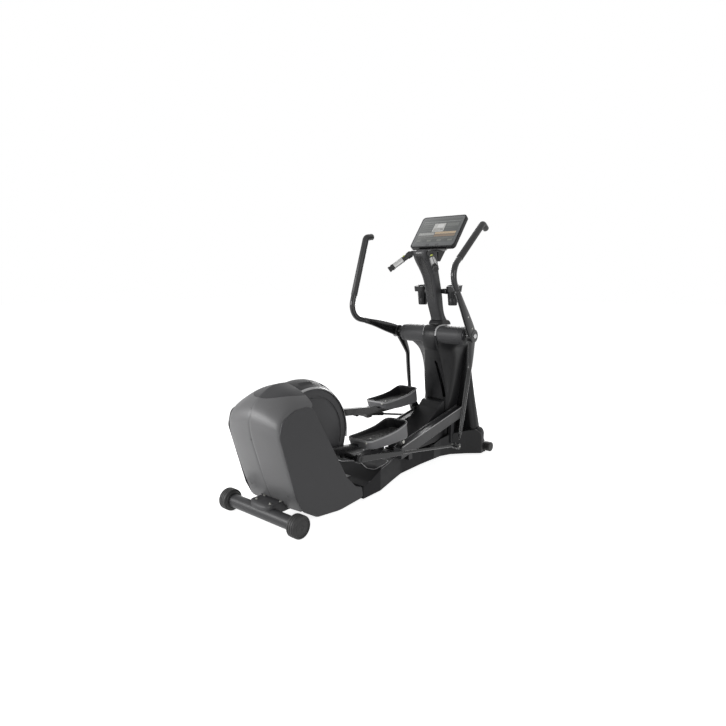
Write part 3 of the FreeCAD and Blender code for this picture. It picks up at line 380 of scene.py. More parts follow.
def leftCopy(right, body="frame", move=(0, 0, 0), turn=None):
    # the same piece on the other side, under the same name with Left for Right
    return copyPiece(right, right.name.replace("Right", "Left"), body, move, True, turn)


def moveFor(turn, about):
    # what to move by so that a turn about the origin becomes one about this spot
    moved = about.copy()
    moved.rotate(Euler(turn))
    return about - moved


def skinThrough(sections):
    # closed outlines with the same number of points, in mm, joined by extruding from one to the next
    piece = openPiece("ring", (0, 0, 0), radius=1, vertices=len(sections[0]), fill_type="NGON")
    mesh = bmesh.from_edit_mesh(piece.data)
    spot = mesh.verts.layers.int.new("spot")
    for number, (one, point) in enumerate(zip(mesh.verts, sections[0])):
        one[spot] = number
        one.co = Vector(point) * mm
    bmesh.update_edit_mesh(piece.data)
    for section in sections[1:]:
        bpy.ops.mesh.extrude_region_move()
        mesh = bmesh.from_edit_mesh(piece.data)
        spot = mesh.verts.layers.int["spot"]
        for one in mesh.verts:
            if one.select:
                one.co = Vector(section[one[spot]]) * mm
        bmesh.update_edit_mesh(piece.data)
    mesh.verts.layers.int.remove(spot)
    bmesh.update_edit_mesh(piece.data)
    return piece


def sheetThrough(rows):
    # an open skin: rows with the same number of points, in mm, first row to last
    lastI, lastJ = len(rows[0]) - 1, len(rows) - 1
    piece = openPiece("grid", (0, 0, 0), size=2, x_subdivisions=lastI, y_subdivisions=lastJ)
    mesh = bmesh.from_edit_mesh(piece.data)
    for one in mesh.verts:
        one.co = Vector(rows[round((one.co.y + 1) / 2 * lastJ)][round((one.co.x + 1) / 2 * lastI)]) * mm
    bmesh.update_edit_mesh(piece.data)
    return piece


def faceAwayFrom(piece, point):
    # an open skin is turned so that it faces away from a point inside it
    inside = Vector(point) * mm
    wrong = sum(1 for f in piece.data.polygons if f.normal.dot(f.center - inside) < 0)
    if wrong > len(piece.data.polygons) / 2:
        openAll(piece)
        bpy.ops.mesh.flip_normals()
        bpy.ops.object.mode_set(mode="OBJECT")


def giveWall(piece, wall):
    useModifier(piece, "SOLIDIFY", thickness=wall * mm, offset=-1)
    smoothBy(piece, 40)


studio = {
    "floorSize": 60.0, "floorHex": "e6e6e6", "floorGlow": 0.86, "air": 0.24,
    # the camera: its place in m, how far it is turned and tipped down in degrees, and its lens in mm
    "place": (2.315, -2.834, 1.292), "yaw": 40.74, "down": 8.3, "lens": 28.46,
    # each lamp's place, what it faces, width and height in m, and its power in W
    "lamps": {"rearPanel": ((-1.9, -3.7, 1.5), (0, -0.6, 0.5), 2.8, 1.2, 110),
              "sidePanel": ((3.8, -1.2, 1.6), (0, 0.2, 0.7), 1.2, 2.2, 34),
              "frontPanel": ((-1.9, 3.4, 1.7), (0, 0.2, 0.8), 1.6, 1.8, 50)},
}


def seenDirectly(tree):
    # 1 for what the camera sees, straight, mirrored or through glass, and 0 for light on the object
    path = addNode(tree, "ShaderNodeLightPath")
    first = addNode(tree, "ShaderNodeMath", {"operation": "MAXIMUM"},
                    {0: (path, "Is Camera Ray"), 1: (path, "Is Glossy Ray")})
    return addNode(tree, "ShaderNodeMath", {"operation": "MAXIMUM"},
                   {0: (first, "Value"), 1: (path, "Is Transmission Ray")})


def buildStudio(values):
    piece = openPiece("grid", (0, 0, 0), size=values["floorSize"], x_subdivisions=2, y_subdivisions=2)
    clearSelection()
    piece.name = "studioFloor"
    made, tree = newMaterial("matteVinylFloor")
    seen = seenDirectly(tree)
    level = addNode(tree, "ShaderNodeMath", {"operation": "MULTIPLY", 1: values["floorGlow"]},
                    {0: (seen, "Value")})
    matte = addNode(tree, "ShaderNodeBsdfDiffuse", {"Color": toLinear(values["floorHex"])})
    glow = addNode(tree, "ShaderNodeEmission", {"Color": (1, 1, 1, 1)}, {"Strength": (level, "Value")})
    both = addNode(tree, "ShaderNodeAddShader", {}, {0: (matte, "BSDF"), 1: (glow, "Emission")})
    addNode(tree, "ShaderNodeOutputMaterial", {}, {"Surface": (both, "Shader")})
    piece.data.materials.append(made)
    world = bpy.data.worlds.new("studioAir")
    world.use_nodes = True
    tree = world.node_tree
    tree.nodes.clear()
    seen = seenDirectly(tree)
    level = addNode(tree, "ShaderNodeMapRange", {"To Min": values["air"], "To Max": 1.0},
                    {"Value": (seen, "Value")})
    air = addNode(tree, "ShaderNodeBackground", {"Color": (1, 1, 1, 1)}, {"Strength": (level, "Result")})
    addNode(tree, "ShaderNodeOutputWorld", {}, {"Surface": (air, "Background")})
    bpy.context.scene.world = world
    for name, (place, aim, width, height, power) in values["lamps"].items():
        data = bpy.data.lights.new(name, "AREA")
        data.shape = "RECTANGLE"
        data.size = width
        data.size_y = height
        data.energy = power
        lamp = bpy.data.objects.new(name, data)
        lamp.location = place
        lamp.rotation_euler = (Vector(aim) - Vector(place)).to_track_quat("-Z", "Y").to_euler()
        bpy.context.scene.collection.objects.link(lamp)
    data = bpy.data.cameras.new("studioCamera")
    data.lens = values["lens"]
    camera = bpy.data.objects.new("studioCamera", data)
    camera.location = values["place"]
    camera.rotation_euler = (math.radians(90 - values["down"]), 0, math.radians(values["yaw"]))
    bpy.context.scene.collection.objects.link(camera)
    bpy.context.scene.camera = camera
    bpy.context.scene.view_settings.view_transform = "Standard"


buildStudio(studio)
print("studio done")

housing = {
    # back of the cover from the floor up: y and z of its middle, how far forward and down its side lies
    "rows": [(-886, 84, 12, 0), (-937, 180, 17, 0), (-990, 345, 17, 0), (-1040, 500, 19, 4),
             (-1047, 590, 25, 30), (-1012, 664, 24, 48), (-918, 728, 12, 84), (-850, 744, 4, 94),
             (-784, 740, 0, 90)],
    # across the cover: x, and the share of the way from its middle to its side that it has gone there
    "columns": [(205, 1.25), (199, 1.0), (180, 0.76), (112, 0.32), (45, 0.12), (8, 0.02), (2, 0.0)],
    # the upright seam down the middle: its depth, its half width and how many rows up it reaches
    "seamDeep": 3.2, "seamHalf": 3, "seamRows": 6,
    "wall": 4.0, "inside": (0, -850, 350),
    "lidMiddle": (0, -784, 680), "lidHalf": 150, "lidReach": 190, "lidPlay": 1.1,
    "tunnel": ((0, -960, 60), (184, 300, 128)),      # opening for the rear foot: its middle and size
}


def buildHousing(values):
    half = [(-x, share) for x, share in values["columns"]]
    across = half + [(-x, share) for x, share in reversed(half)]
    rows = []
    for number, (y, z, forward, down) in enumerate(values["rows"]):
        seam = values["seamDeep"] if number < values["seamRows"] else 0
        rows.append([(x, y + forward * share + seam * (abs(x) < values["seamHalf"]), z - down * share)
                     for x, share in across])
    skin = finishPiece(sheetThrough(rows), "rearHousingSkin", "frame", "mouldedAbsGrey", "grey_shell",
                       levels=3)
    faceAwayFrom(skin, values["inside"])
    giveWall(skin, values["wall"])

    def lidCutter(play):
        middle = Vector(values["lidMiddle"]) * mm
        cutter = openPiece("rod", middle, radius=1, depth=0.2, vertices=96)
        grow(((values["lidHalf"] - play) * mm, (values["lidReach"] - play) * mm, 1), middle)
        return cutter

    lid = copyPiece(skin, "topLid", "frame")
    cutWith(lid, lidCutter(values["lidPlay"]), "INTERSECT")
    cutWith(skin, lidCutter(0))
    cutWith(skin, openBlock(*values["tunnel"]))
    setFinish(lid, "texturedAbsDark")
    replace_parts(skin, "rear_cover")
    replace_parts(lid, "top_lid")
    smoothBy(skin, 40)
    smoothBy(lid, 40)


buildHousing(housing)

arch = {
    "outer": 286, "inner": 281, "half": 106, "roll": 11, "wall": 3, "steps": 72,
    # how much higher its middle is, and where its section has points
    "crown": 32, "crownAt": (80, 60, 36, 12),
    # its two ends: behind the crank, and below its middle in front
    "rearY": -783.6, "frontDrop": 46,
}


def buildArch(values):
    # the arched band over the crank discs: its section is spun round the crank's middle
    half, outer, inner, roll = values["half"], values["outer"], values["inner"], values["roll"]
    rear = math.acos((values["rearY"] - crankY) / outer)      # angles from straight forward
    front = math.asin(-values["frontDrop"] / outer)
    crowned = [(x, outer + values["crown"] * (1 - (x / (half - roll)) ** 2)) for x in values["crownAt"]]
    side = [(half - 2, inner - 3), (half, outer - roll + 1), (half - 3.5, outer - 3.5),
            (half - roll, outer)]
    section = side + crowned + [(-x, r) for x, r in reversed(side + crowned)]
    # a narrow strip, of which only the rear line is kept to be spun
    rows = [[(x, crankY + r * math.cos(rear) + step, crankZ + r * math.sin(rear)) for x, r in section]
            for step in (0, 9)]
    piece = sheetThrough(rows)
    pick(piece, "VERT", lambda c: c.y > crankY + outer * math.cos(rear) + 4)
    bpy.ops.mesh.delete(type="VERT")
    bpy.ops.mesh.select_all(action="SELECT")
    bpy.ops.mesh.spin(steps=values["steps"], angle=rear - front, center=crankSpot, axis=(1, 0, 0))
    band = finishPiece(piece, "archBand", *darkCover, smooth=30)
    faceAwayFrom(band, crankSpot / mm)
    giveWall(band, values["wall"])
    # the rolled edge on each side is silver, partly a trim and partly a painted highlight
    band.data.materials.append(finishes["silverTrimAndHighlight"])
    for face in band.data.polygons:
        away = math.hypot(face.center.y - crankSpot.y, face.center.z - crankSpot.z) * 1000
        if abs(face.center.x) * 1000 > half - roll and abs(face.normal.x) > 0.2 and away > outer - roll:
            face.material_index = 1
    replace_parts(band, "drum_hoop")


buildArch(arch)

disc = {
    "inside": 91, "outside": 98, "radius": 276,
    # rings from the rim in: width, how far the face inside moves out, and if that leaves an upright wall
    "rings": [(40, -6.2, True), (14, 5.0, True), (110, -3.0, False), (55, 1.2, False), (12, 0, False),
              (8, 8, True), (12, -2.5, True)],
}


def buildDisc(values):
    # a pressed disc: a flat rim, a groove inside it, a shallow dish and a raised hub
    middle = (values["inside"] + values["outside"]) / 2
    piece = openPiece("rod", (middle * mm, crankSpot.y, crankSpot.z), facing["X"],
                      radius=values["radius"] * mm, depth=(values["outside"] - values["inside"]) * mm,
                      vertices=128)
    pick(piece, "FACE", lambda c, n: n.x > 0.9)
    for wide, out, upright in values["rings"]:
        bpy.ops.mesh.inset(thickness=wide * mm)
        if upright:
            pull(out, 0, 0)
        else:
            shift(out, 0, 0)
    right = finishPiece(piece, "crankDiscFaceRight", "crank", "texturedAbsDark", "frame_steel", bevel=1.2,
                        smooth=30)
    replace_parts(right, "crank_disc_right")
    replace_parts(leftCopy(right, "crank"), "crank_disc_left")


buildDisc(disc)
print("housing done")

rearFoot = {
    "spot": (0, -971, 61.5),
    # rubber cap, as (x, radius): narrow neck, grooved tread, rolled lip and a sunk end face
    "neck": [(246, 38.5), (246, 47), (249, 49.5), (252, 49.5), (253, 56), (256, 60.5), (262, 61.4)],
    "grooveAt": (266, 280, 294), "groove": [(0, 61.4), (1, 59.2), (3, 59.2), (4, 61.4)],
    "end": [(303, 60.6), (307, 58), (309.6, 53.5), (309.6, 50.5), (306, 49), (305.4, 38), (306.4, 36.5),
            (307.6, 34), (307.6, 14), (306, 12)],
}


def buildRearFoot(values):
    tread = [(start + x, r) for start in values["grooveAt"] for x, r in values["groove"]]
    piece = turnOnLathe("X", Vector(values["spot"]) * mm, values["neck"] + tread + values["end"], 64)
    right = finishPiece(piece, "rearCapRight", "frame", "mouldedRubber", "tyre_rubber", smooth=28)
    for cap in (right, leftCopy(right)):
        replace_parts(cap, "rear_stabiliser_caps")


buildRearFoot(rearFoot)
print("rear foot done")

tower = {
    # from the floor up: (z, half width of the rear face, its y, half width of the wings, where they start)
    "rows": [(158, 82, 678, 96, 692), (300, 84, 677, 97, 692), (370, 87, 675, 99, 692),
             (430, 94, 671, 108, 696), (520, 98, 663, 124, 702), (600, 92, 651, 131, 704),
             (680, 82, 636, 141, 700), (740, 72, 622, 150, 688), (780, 66, 611, 157, 670),
             (806, 65, 603, 168, 652), (826, 68, 598, 186, 640), (842, 78, 596, 206, 632),
             (852, 90, 597, 222, 630)],
    "front": 817.4, "wall": 4, "spineRound": 16, "wingRound": 22, "inside": (0, 780, 500),
    "floorRise": (760, 6),       # the floor cover is higher from this y on, by this much
    # air slot down the right of the middle, from the top: (z, inner edge, width), where it is cut from and
    # to, and its slant
    "slot": [(706, 18, 10), (692, 20, 18), (640, 30, 21), (580, 42, 23), (510, 56, 24), (440, 68, 22)],
    "slotY": (570, 700), "slotSlant": 3,
}


def buildTower(values):
    front, s = values["front"], values["spineRound"]
    rows = []
    for z, half, back, wing, start in values["rows"]:
        r = min(values["wingRound"], (wing - half) * 0.6 + 6)
        deep = start - back
        side = [(wing, front), (wing, (front + start) / 2 + 8), (wing, start + r),
                (wing - r * 0.3, start + r * 0.3), (wing - r, start - deep * 0.04),
                (half + (wing - r - half) * 0.45, back + deep * 0.62), (half + 2, back + s * 0.75),
                (half - s * 0.3, back + s * 0.2), (half - s * 1.2, back + 1), (half * 0.4, back - 2),
                (half * 0.12, back - 2.4)]
        rows.append([(-x, y, z) for x, y in side] + [(x, y, z) for x, y in reversed(side)])
    highFrom, rise = values["floorRise"]
    rows[0] = [(x, y, z + (0 if y < highFrom else rise)) for x, y, z in rows[0]]
    skin = finishPiece(sheetThrough(rows), "towerRearSkin", *blackCover, levels=2)
    faceAwayFrom(skin, values["inside"])
    giveWall(skin, values["wall"])
    (y0, y1), slant = values["slotY"], values["slotSlant"]
    cutter = skinThrough([[(x, y0, z), (x + wide, y0, z + slant), (x + wide, y1, z + slant), (x, y1, z)]
                          for z, x, wide in values["slot"]])
    openAll(cutter)
    bpy.ops.mesh.normals_make_consistent(inside=False)
    cutWith(skin, cutter)
    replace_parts(skin, "tower_rear_cover")
    smoothBy(skin, 40)


buildTower(tower)

sleeve = {
    # outline round the cross tube, as (y, z): round behind and flat on top; and what it shrinks towards
    "outline": [(583, 900), (584, 920), (591, 938), (604, 952), (622, 960), (650, 962.5), (700, 962.5),
                (726, 960), (734, 953), (731, 945), (706, 936), (684, 918), (672, 896), (666, 872),
                (655, 852), (640, 841), (624, 838), (608, 843), (595, 857), (586, 878)],
    "middle": (629, 903),
    # from the end in: (x, the outline's size there)
    "stations": [(-262, 0.84), (-262, 0.9), (-259.5, 0.93), (-252, 0.94), (-250.5, 0.915), (-248, 0.915),
                 (-246.5, 0.95), (-240, 0.955), (-238.5, 0.925), (-236, 0.925), (-234.5, 0.965), (-200, 1),
                 (-66, 1.0)],
}


def buildSleeve(values):
    midY, midZ = values["middle"]
    stations = values["stations"] + [(-x, size) for x, size in reversed(values["stations"])]
    sections = [[(x, midY + (y - midY) * size, midZ + (z - midZ) * size) for y, z in values["outline"]]
                for x, size in stations]
    piece = finishPiece(skinThrough(sections), "crossTubeSleeve", *darkCover, smooth=32)
    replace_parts(piece, "cross_tube_cover")


buildSleeve(sleeve)

tongue = {
    # down from the foot of the mast, over the sleeve and into the tower's face: (y, z, half width)
    "path": [(714, 969.5, 66), (668, 971, 66), (630, 970, 64), (602, 961, 61), (584, 943, 58),
             (576, 920, 57), (573.5, 896, 57), (574.5, 872, 58), (579, 850, 60), (586, 830, 62),
             (594, 812, 62), (604, 794, 60), (616, 778, 56), (630, 764, 50)],
    "thick": 10, "roll": 8, "sleeveTop": 960, "highlightAbove": 900, "highlightOutside": 48,
}


def buildTongue(values):
    path, t, r = values["path"], values["thick"], values["roll"]
    sections = []
    for i, (y, z, half) in enumerate(path):
        y0, z0, h0 = path[max(i - 1, 0)]
        y1, z1, h1 = path[min(i + 1, len(path) - 1)]
        run = Vector((0, y1 - y0, z1 - z0)).normalized()
        out = Vector((0, run.z, -run.y))
        # its outside faces up on the sleeve and back below it
        if (out.z if z >= values["sleeveTop"] else -out.y) < 0:
            out = -out
        side = [(half, 0), (half, t - r), (half - r * 0.3, t - r * 0.3), (half - r, t),
                (half * 0.4, t + 1.5)]
        shape = [(-x, h) for x, h in side] + side[::-1]
        sections.append([(x, y + out.y * (h - t), z + out.z * (h - t)) for x, h in shape])
    piece = finishPiece(skinThrough(sections), "towerTongue", *blackCover, smooth=50)
    # its rolled edge is painted silver where it passes over the sleeve and is lit: a painted highlight,
    # which stops where the edge falls into shadow
    piece.data.materials.append(finishes["silverTrimAndHighlight"])
    for face in piece.data.polygons:
        spot = face.center * 1000
        atSide = abs(face.normal.x) > 0.2 and abs(spot.x) > values["highlightOutside"]
        # the painted highlight is laid only on the lit, upper part of the edge
        if atSide and spot.z > values["highlightAbove"]:
            face.material_index = 1


buildTongue(tongue)

cup = {
    "spot": (128, 679, 1108),
    # the cup from below, outside and then inside: (height, radius)
    "rows": [(0, 27), (2, 30), (6, 31.5), (44, 35), (46, 34.2), (49, 34.2), (51, 35.6), (128, 41.4),
             (128, 39.4), (60, 33.6), (8, 28.4), (5, 24)],
    # the band round its mouth rises away from the user, is drawn in below and has a slot in its ear
    "band": ((138, 679, 1226), (106, 92, 44)), "bandCorner": 32, "bandEdge": 2.6, "rise": 0.16,
    "drawn": 0.9, "drawnAside": 6, "hole": 40.6, "ear": ((178.5, 679, 1226), (8, 46, 100)), "earCorner": 3.6,
    # the bracket from the mast: x, half depth, half height, y
    "bracket": [(38, 20, 15, 668), (52, 20, 16, 670), (70, 24, 18, 674), (92, 34, 20, 679)],
    "bracketUp": 100,
}


def buildCups(values):
    spot = Vector(values["spot"]) * mm
    base = values["spot"][2]
    bandZ = values["band"][0][2]
    piece = turnOnLathe("Z", spot, [(base + up, r) for up, r in values["rows"]], 56)
    right = finishPiece(piece, "cupHolderRight", *blackCover)
    band = openRoundBlock(*values["band"], values["bandCorner"], 10)
    pick(band, "VERT", lambda c: c.z > bandZ)
    for vert in [v for v in bmesh.from_edit_mesh(band.data).verts if v.select]:
        vert.co.z += (vert.co.y - spot.y) * values["rise"]
    pick(band, "VERT", lambda c: c.z < bandZ - 15)
    grow((values["drawn"], values["drawn"], 1), (spot.x + values["drawnAside"] * mm, spot.y, spot.z))
    tray = finishPiece(band, "cupBandRight", *blackCover)
    cutWith(tray, openPiece("rod", (spot.x, spot.y, bandZ * mm), radius=values["hole"] * mm, depth=0.1,
                            vertices=56))
    cutWith(tray, openRoundBlock(*values["ear"], values["earCorner"], 4))
    bevelEdges(tray, values["bandEdge"], 3, 50)
    smoothBy(tray, 40)
    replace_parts(right, "cup_holders")
    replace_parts(leftCopy(right), "cup_holders")
    leftCopy(tray)
    z = base + values["bracketUp"]
    lower = [(-1, -0.5), (-0.8, -1), (0.8, -1), (1, -0.5)]
    shape = lower + [(a, -b) for a, b in reversed(lower)]
    sections = [[(x, y + halfY * a, z + halfZ * b) for a, b in shape]
                for x, halfY, halfZ, y in values["bracket"]]
    leftCopy(finishPiece(skinThrough(sections), "cupBracketRight", *blackCover, bevel=1.5))


buildCups(cup)
print("tower done")

# fasteners are modelled once, standing up at the origin, and copied to their places
fastener = {
    "washer": [(-1, 8.6), (0.6, 8.6), (1.4, 8.2), (1.4, 6.9)],
    "hexHead": {"radius": 6.6, "from": 0.8, "high": 5.2, "chamfer": 0.7, "rim": 2.2, "sunk": 0.5},
    "buttonHead": [(-1, 6.2), (0.6, 6.4), (1.6, 6.0), (2.8, 4.9), (3.5, 3.4)],
    "socket": {"radius": 2.1, "from": 1.4, "high": 4},
    # small cross-headed screw sunk in a moulded dimple
    "sunkScrew": [(-2.0, 5.6), (0.25, 5.6), (0.35, 5.0), (-1.2, 4.4), (-1.2, 3.9), (-0.7, 3.3),
                  (-0.5, 1.6)],
}


def openHexRod(size):
    # a six-sided rod that stands over the origin
    return openPiece("rod", (0, 0, (size["from"] + size["high"] / 2) * mm), radius=size["radius"] * mm,
                     depth=size["high"] * mm, vertices=6)


def buildFasteners(values):
    origin = Vector()
    washer = finishPiece(turnOnLathe("Z", origin, values["washer"], 32), "washerPattern", "frame",
                         "zincPlate", "bright_steel", smooth=30)
    head = values["hexHead"]
    piece = openHexRod(head)
    pick(piece, "FACE", lambda c, n: n.z > 0.9)
    bpy.ops.mesh.bevel(offset=head["chamfer"] * mm, segments=1, affect="EDGES")
    pick(piece, "FACE", lambda c, n: n.z > 0.9)
    bpy.ops.mesh.inset(thickness=head["rim"] * mm)
    pull(0, 0, -head["sunk"])
    hexHead = finishPiece(piece, "hexHeadPattern", "frame", "zincPlate", "bright_steel", bevel=0.3)
    button = finishPiece(turnOnLathe("Z", origin, values["buttonHead"], 32), "buttonHeadPattern", "frame",
                         "zincPlate", "bright_steel", smooth=40)
    cutWith(button, openHexRod(values["socket"]))
    screw = finishPiece(turnOnLathe("Z", origin, values["sunkScrew"], 28), "sunkScrewPattern", "frame",
                        "mouldedRubber", "dark_shell", smooth=40)
    return {"washer": washer, "hexHead": hexHead, "buttonHead": button, "sunkScrew": screw}


fasteners = buildFasteners(fastener)


def pointCopy(source, name, body, spot, way):
    # a copy of a fastener, set at a spot in mm and facing that way
    turn = Vector(way).normalized().to_track_quat("Z", "Y").to_euler()
    return copyPiece(source, name, body, move=Vector(spot) * mm, turn=turn)


def roundedRun(points, radii, steps):
    # a path of (back, up, x) through points whose inner corners are rounded to these radii
    out = [Vector(points[0])]
    for a, p, b, r in zip(points, points[1:], points[2:], radii):
        a, p, b = Vector(a), Vector(p), Vector(b)
        toA, toB = (a - p).normalized(), (b - p).normalized()
        half = toA.angle(toB) / 2
        reach = r / math.tan(half)
        centre = p + (toA + toB).normalized() * (r / math.sin(half))
        first, last = p + toA * reach - centre, p + toB * reach - centre
        for k in range(steps + 1):
            out.append(centre + first.normalized().slerp(last.normalized(), k / steps) * r)
    out.append(Vector(points[-1]))
    return out


def roundPoint(k, sides, square):
    # point k of an oval between a circle, where square is 2, and a square, where it is endless
    turn = math.tau * k / sides
    return [math.copysign(abs(v) ** (2 / square), v) for v in (math.cos(turn), math.sin(turn))]


def barThrough(stations, sides):
    # a bar through stations from the swing arm's pivot: (back, up, x, half depth, half width, how square)
    spots = [Vector((s[2], pivotY - s[0], pivotZ + s[1])) for s in stations]
    sections = []
    for i, (spot, station) in enumerate(zip(spots, stations)):
        run = (spots[min(i + 1, len(spots) - 1)] - spots[max(i - 1, 0)]).normalized()
        across = (axes["X"] - run * run.x).normalized()
        deep = run.cross(across)
        square = station[5] if len(station) > 5 else 2
        ring = [roundPoint(k, sides, square) for k in range(sides)]
        sections.append([spot + across * c * station[4] + deep * s * station[3] for c, s in ring])
    return skinThrough(sections)


def fromPivot(x, y, z):
    # a spot in the frame as (back, up, x) from the swing arm's pivot
    return pivotY - y, z - pivotZ, x


swingArm = {
    # bars, as stations from the pivot: (back, up, x, half depth, half width, how square)
    "blade": [(-6, -4, 322, 40, 15, 3.2), (10, 16, 323, 42, 16.5, 3.2), (45, 68, 324, 40.5, 16.5, 3.2),
              (84, 122, 325, 37.5, 16.5, 3), (124, 178, 326, 32, 17, 2.6), (164, 232, 327, 26.5, 18, 2.3),
              (204, 281, 330, 21.5, 19, 2), (236, 321, 332, 20.1, 20, 2)],
    "plate": [(-6, 4, 316, 40, 15, 3.2), (-5, -22, 315, 38, 15, 3.2), (-3, -70, 314, 35, 14.5, 3.2),
              (0, -120, 314, 31, 14, 3), (5, -170, 314.5, 25.5, 14, 2.8), (11, -212, 315.5, 20, 14, 2.4),
              (20, -232, 317.6, 16.5, 14.5, 2.1), (36, -260, 321, 15, 15, 2),
              (89.5, -379, 335.7, 15, 15, 2), (232, -703, 374.3, 14.6, 14.2, 2)],
    # the tube's corners, as (back, up, x), and how they are bent
    "tube": [(236, 321, 332), (324, 431, 339), (-122, 761, 309), (-171, 731, 306)], "bends": (105, 24),
    "tubeR": 20,
    # the grip starts this far up the straight run; its first ring is drawn as (way along, how much thicker)
    "gripFrom": 150, "gripR": 22.2,
    "gripRing": [(0, -0.6), (2, 0.8), (7, 0.8), (8, -0.6), (10, -0.6), (11, 0)],
    # turned parts, as (x, radius)
    "hub": [(299, 30), (299, 41.5), (300.2, 44.4), (303, 46), (306, 46), (307, 45), (333, 45), (334, 46),
            (337.5, 46), (340, 44.6), (341.4, 42), (341.4, 31), (340, 29.5), (340, 22)],
    "cap": [(339, 16.5), (345, 16.5), (347.5, 15.2), (349.4, 12.4), (350.2, 8.6), (350.2, 5.2),
            (348.2, 4.4)],
    "eye": [(361.8, 17.5), (362.6, 19.4), (364, 20), (382, 20), (384, 19), (384.4, 16), (383.6, 14.5)],
    "pin": [(354, 8), (363, 8)],
    "eyeSpot": (0, 391, 190), "eyeBoltX": 382.8,
    "bladeBolts": [(340.6, 593, 961), (340.6, 537, 1041)],
    "swing": 0.68,               # how far the left arm is turned from the right one's place, in radians
}


def buildSwingArm(values):
    def armPiece(piece, name, finish="glossPaintBlack", slot="arm_steel", **more):
        return finishPiece(piece, name, "swing_arm_right", finish, slot, **more)

    blade = armPiece(barThrough(values["blade"], 24), "swingBladeRight", levels=1, smooth=50)
    r, gripR = values["tubeR"], values["gripR"]
    tubeRun = roundedRun(values["tube"], values["bends"], 9)
    tube = armPiece(barThrough([(*p, r, r) for p in tubeRun], 24), "swingTubeRight", smooth=50)
    # the grip's sleeve runs from part of the way up the straight run to round the tip
    lead, top = Vector(values["tube"][1]), Vector(values["tube"][2])
    way = (top - lead).normalized()
    start = lead + way * values["gripFrom"]
    after = [p for p in tubeRun if (p - lead).dot(way) > values["gripFrom"] + 40]
    end = after[-1]
    tip = (end - after[-2]).normalized()
    run = [(start, r + 0.3)] + [(start + way * far, gripR + more) for far, more in values["gripRing"]]
    run += [(p, gripR) for p in after]
    run += [(end + tip * 2.5, gripR - 1.2), (end + tip * 4, gripR - 5)]
    grip = armPiece(barThrough([(*p, t, t) for p, t in run], 28), "swingGripRight", "foamedVinyl",
                    "grip_foam", smooth=40)
    plate = armPiece(barThrough(values["plate"], 24), "swingPlateRight", levels=1, smooth=50)
    eyeSpot = Vector(values["eyeSpot"]) * mm
    steel = ("turnedSteel", "bright_steel")
    hub = armPiece(turnOnLathe("X", pivotSpot, values["hub"], 64), "swingHubRight", smooth=32)
    cap = armPiece(turnOnLathe("X", pivotSpot, values["cap"], 48), "swingHubCapRight", *steel, smooth=32)
    eye = armPiece(turnOnLathe("X", eyeSpot, values["eye"], 48), "swingEyeRight", smooth=32)
    pin = armPiece(turnOnLathe("X", eyeSpot, values["pin"], 32), "swingPinRight", *steel, smooth=32)
    bolts = [pointCopy(fasteners["hexHead"], "swingEyeBoltRight", "swing_arm_right",
                       (values["eyeBoltX"], *values["eyeSpot"][1:]), axes["X"])]
    for number, spot in enumerate(values["bladeBolts"], 1):
        bolts.append(pointCopy(fasteners["buttonHead"], "swingBladeBolt%dRight" % number, "swing_arm_right",
                               spot, axes["X"]))
    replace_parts(blade, "swing_arm_right")
    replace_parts(grip, "grip_right")
    turn = (values["swing"], 0, 0)
    for piece in [blade, tube, grip, plate, hub, cap, eye, pin] + bolts:
        other = leftCopy(piece, "swing_arm_left", moveFor(turn, pivotSpot), turn)
        if piece is blade:
            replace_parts(other, "swing_arm_left")
        if piece is grip:
            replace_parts(other, "grip_left")


buildSwingArm(swingArm)
print("swing arms done")

pedal = {
    "x": (61, 238), "y": (-369, 61), "rearCorner": 36, "toeCorner": 62, "floor": 335,
    # at the toe the rim stands this far back, and the keel this far inside the length
    "toeLean": 20, "keelToe": 4,
    # heights along the tub, as (y, z): its rim and its keel
    "rim": [(-369, 361), (-300, 362), (-230, 365), (-150, 371), (-95, 379), (-45, 392), (-5, 404),
            (18, 409), (36, 407), (50, 401), (61, 391)],
    "keel": [(-369, 316), (-346, 308), (-309, 299), (-169, 293.5), (-9, 297), (34, 305), (61, 316)],
    # from underneath up the outside, over the rim and down inside: (inset, height over floor, keel or rim)
    "under": (7, -8),
    "overKeel": [(15, 1), (11.5, 0), (9.5, 2.5), (7.5, 9)],
    "overRim": [(0.8, -16), (-1.4, -12.5), (-2.4, -7), (-1.6, -2), (1.5, 0), (6, -0.6), (8.5, -3.2),
                (9.6, -12)],
    "overFloor": [(12, 8), (13.5, 2.5), (17, 0)],
    "highlightBand": 12,                # how far down the outer roll is painted pale as a highlight
    "mat": [(17.5, -0.5), (17.5, 2.4), (18.6, 3.2)],
    "rib": (132, 5.2, 2.2), "ribSpot": (149.5, -324, 3.6), "ribPitch": 9, "ribRun": 344,
    # bolts: a spot and the way that it faces
    "bolts": [((214, -367.2, 346), (0.35, -1, 0.1)), ((86, -367.2, 346), (-0.35, -1, 0.1)),
              ((149.5, -250, 337.5), (0, 0, 1)), ((149.5, 0, 337.5), (0, 0, 1))],
}


def heightAt(table, y):
    # the height at y in a table of (y, z), level past its ends
    for (ya, za), (yb, zb) in zip(table, table[1:]):
        if y <= yb:
            return za + (zb - za) * max(0, (y - ya) / (yb - ya))
    return table[-1][1]


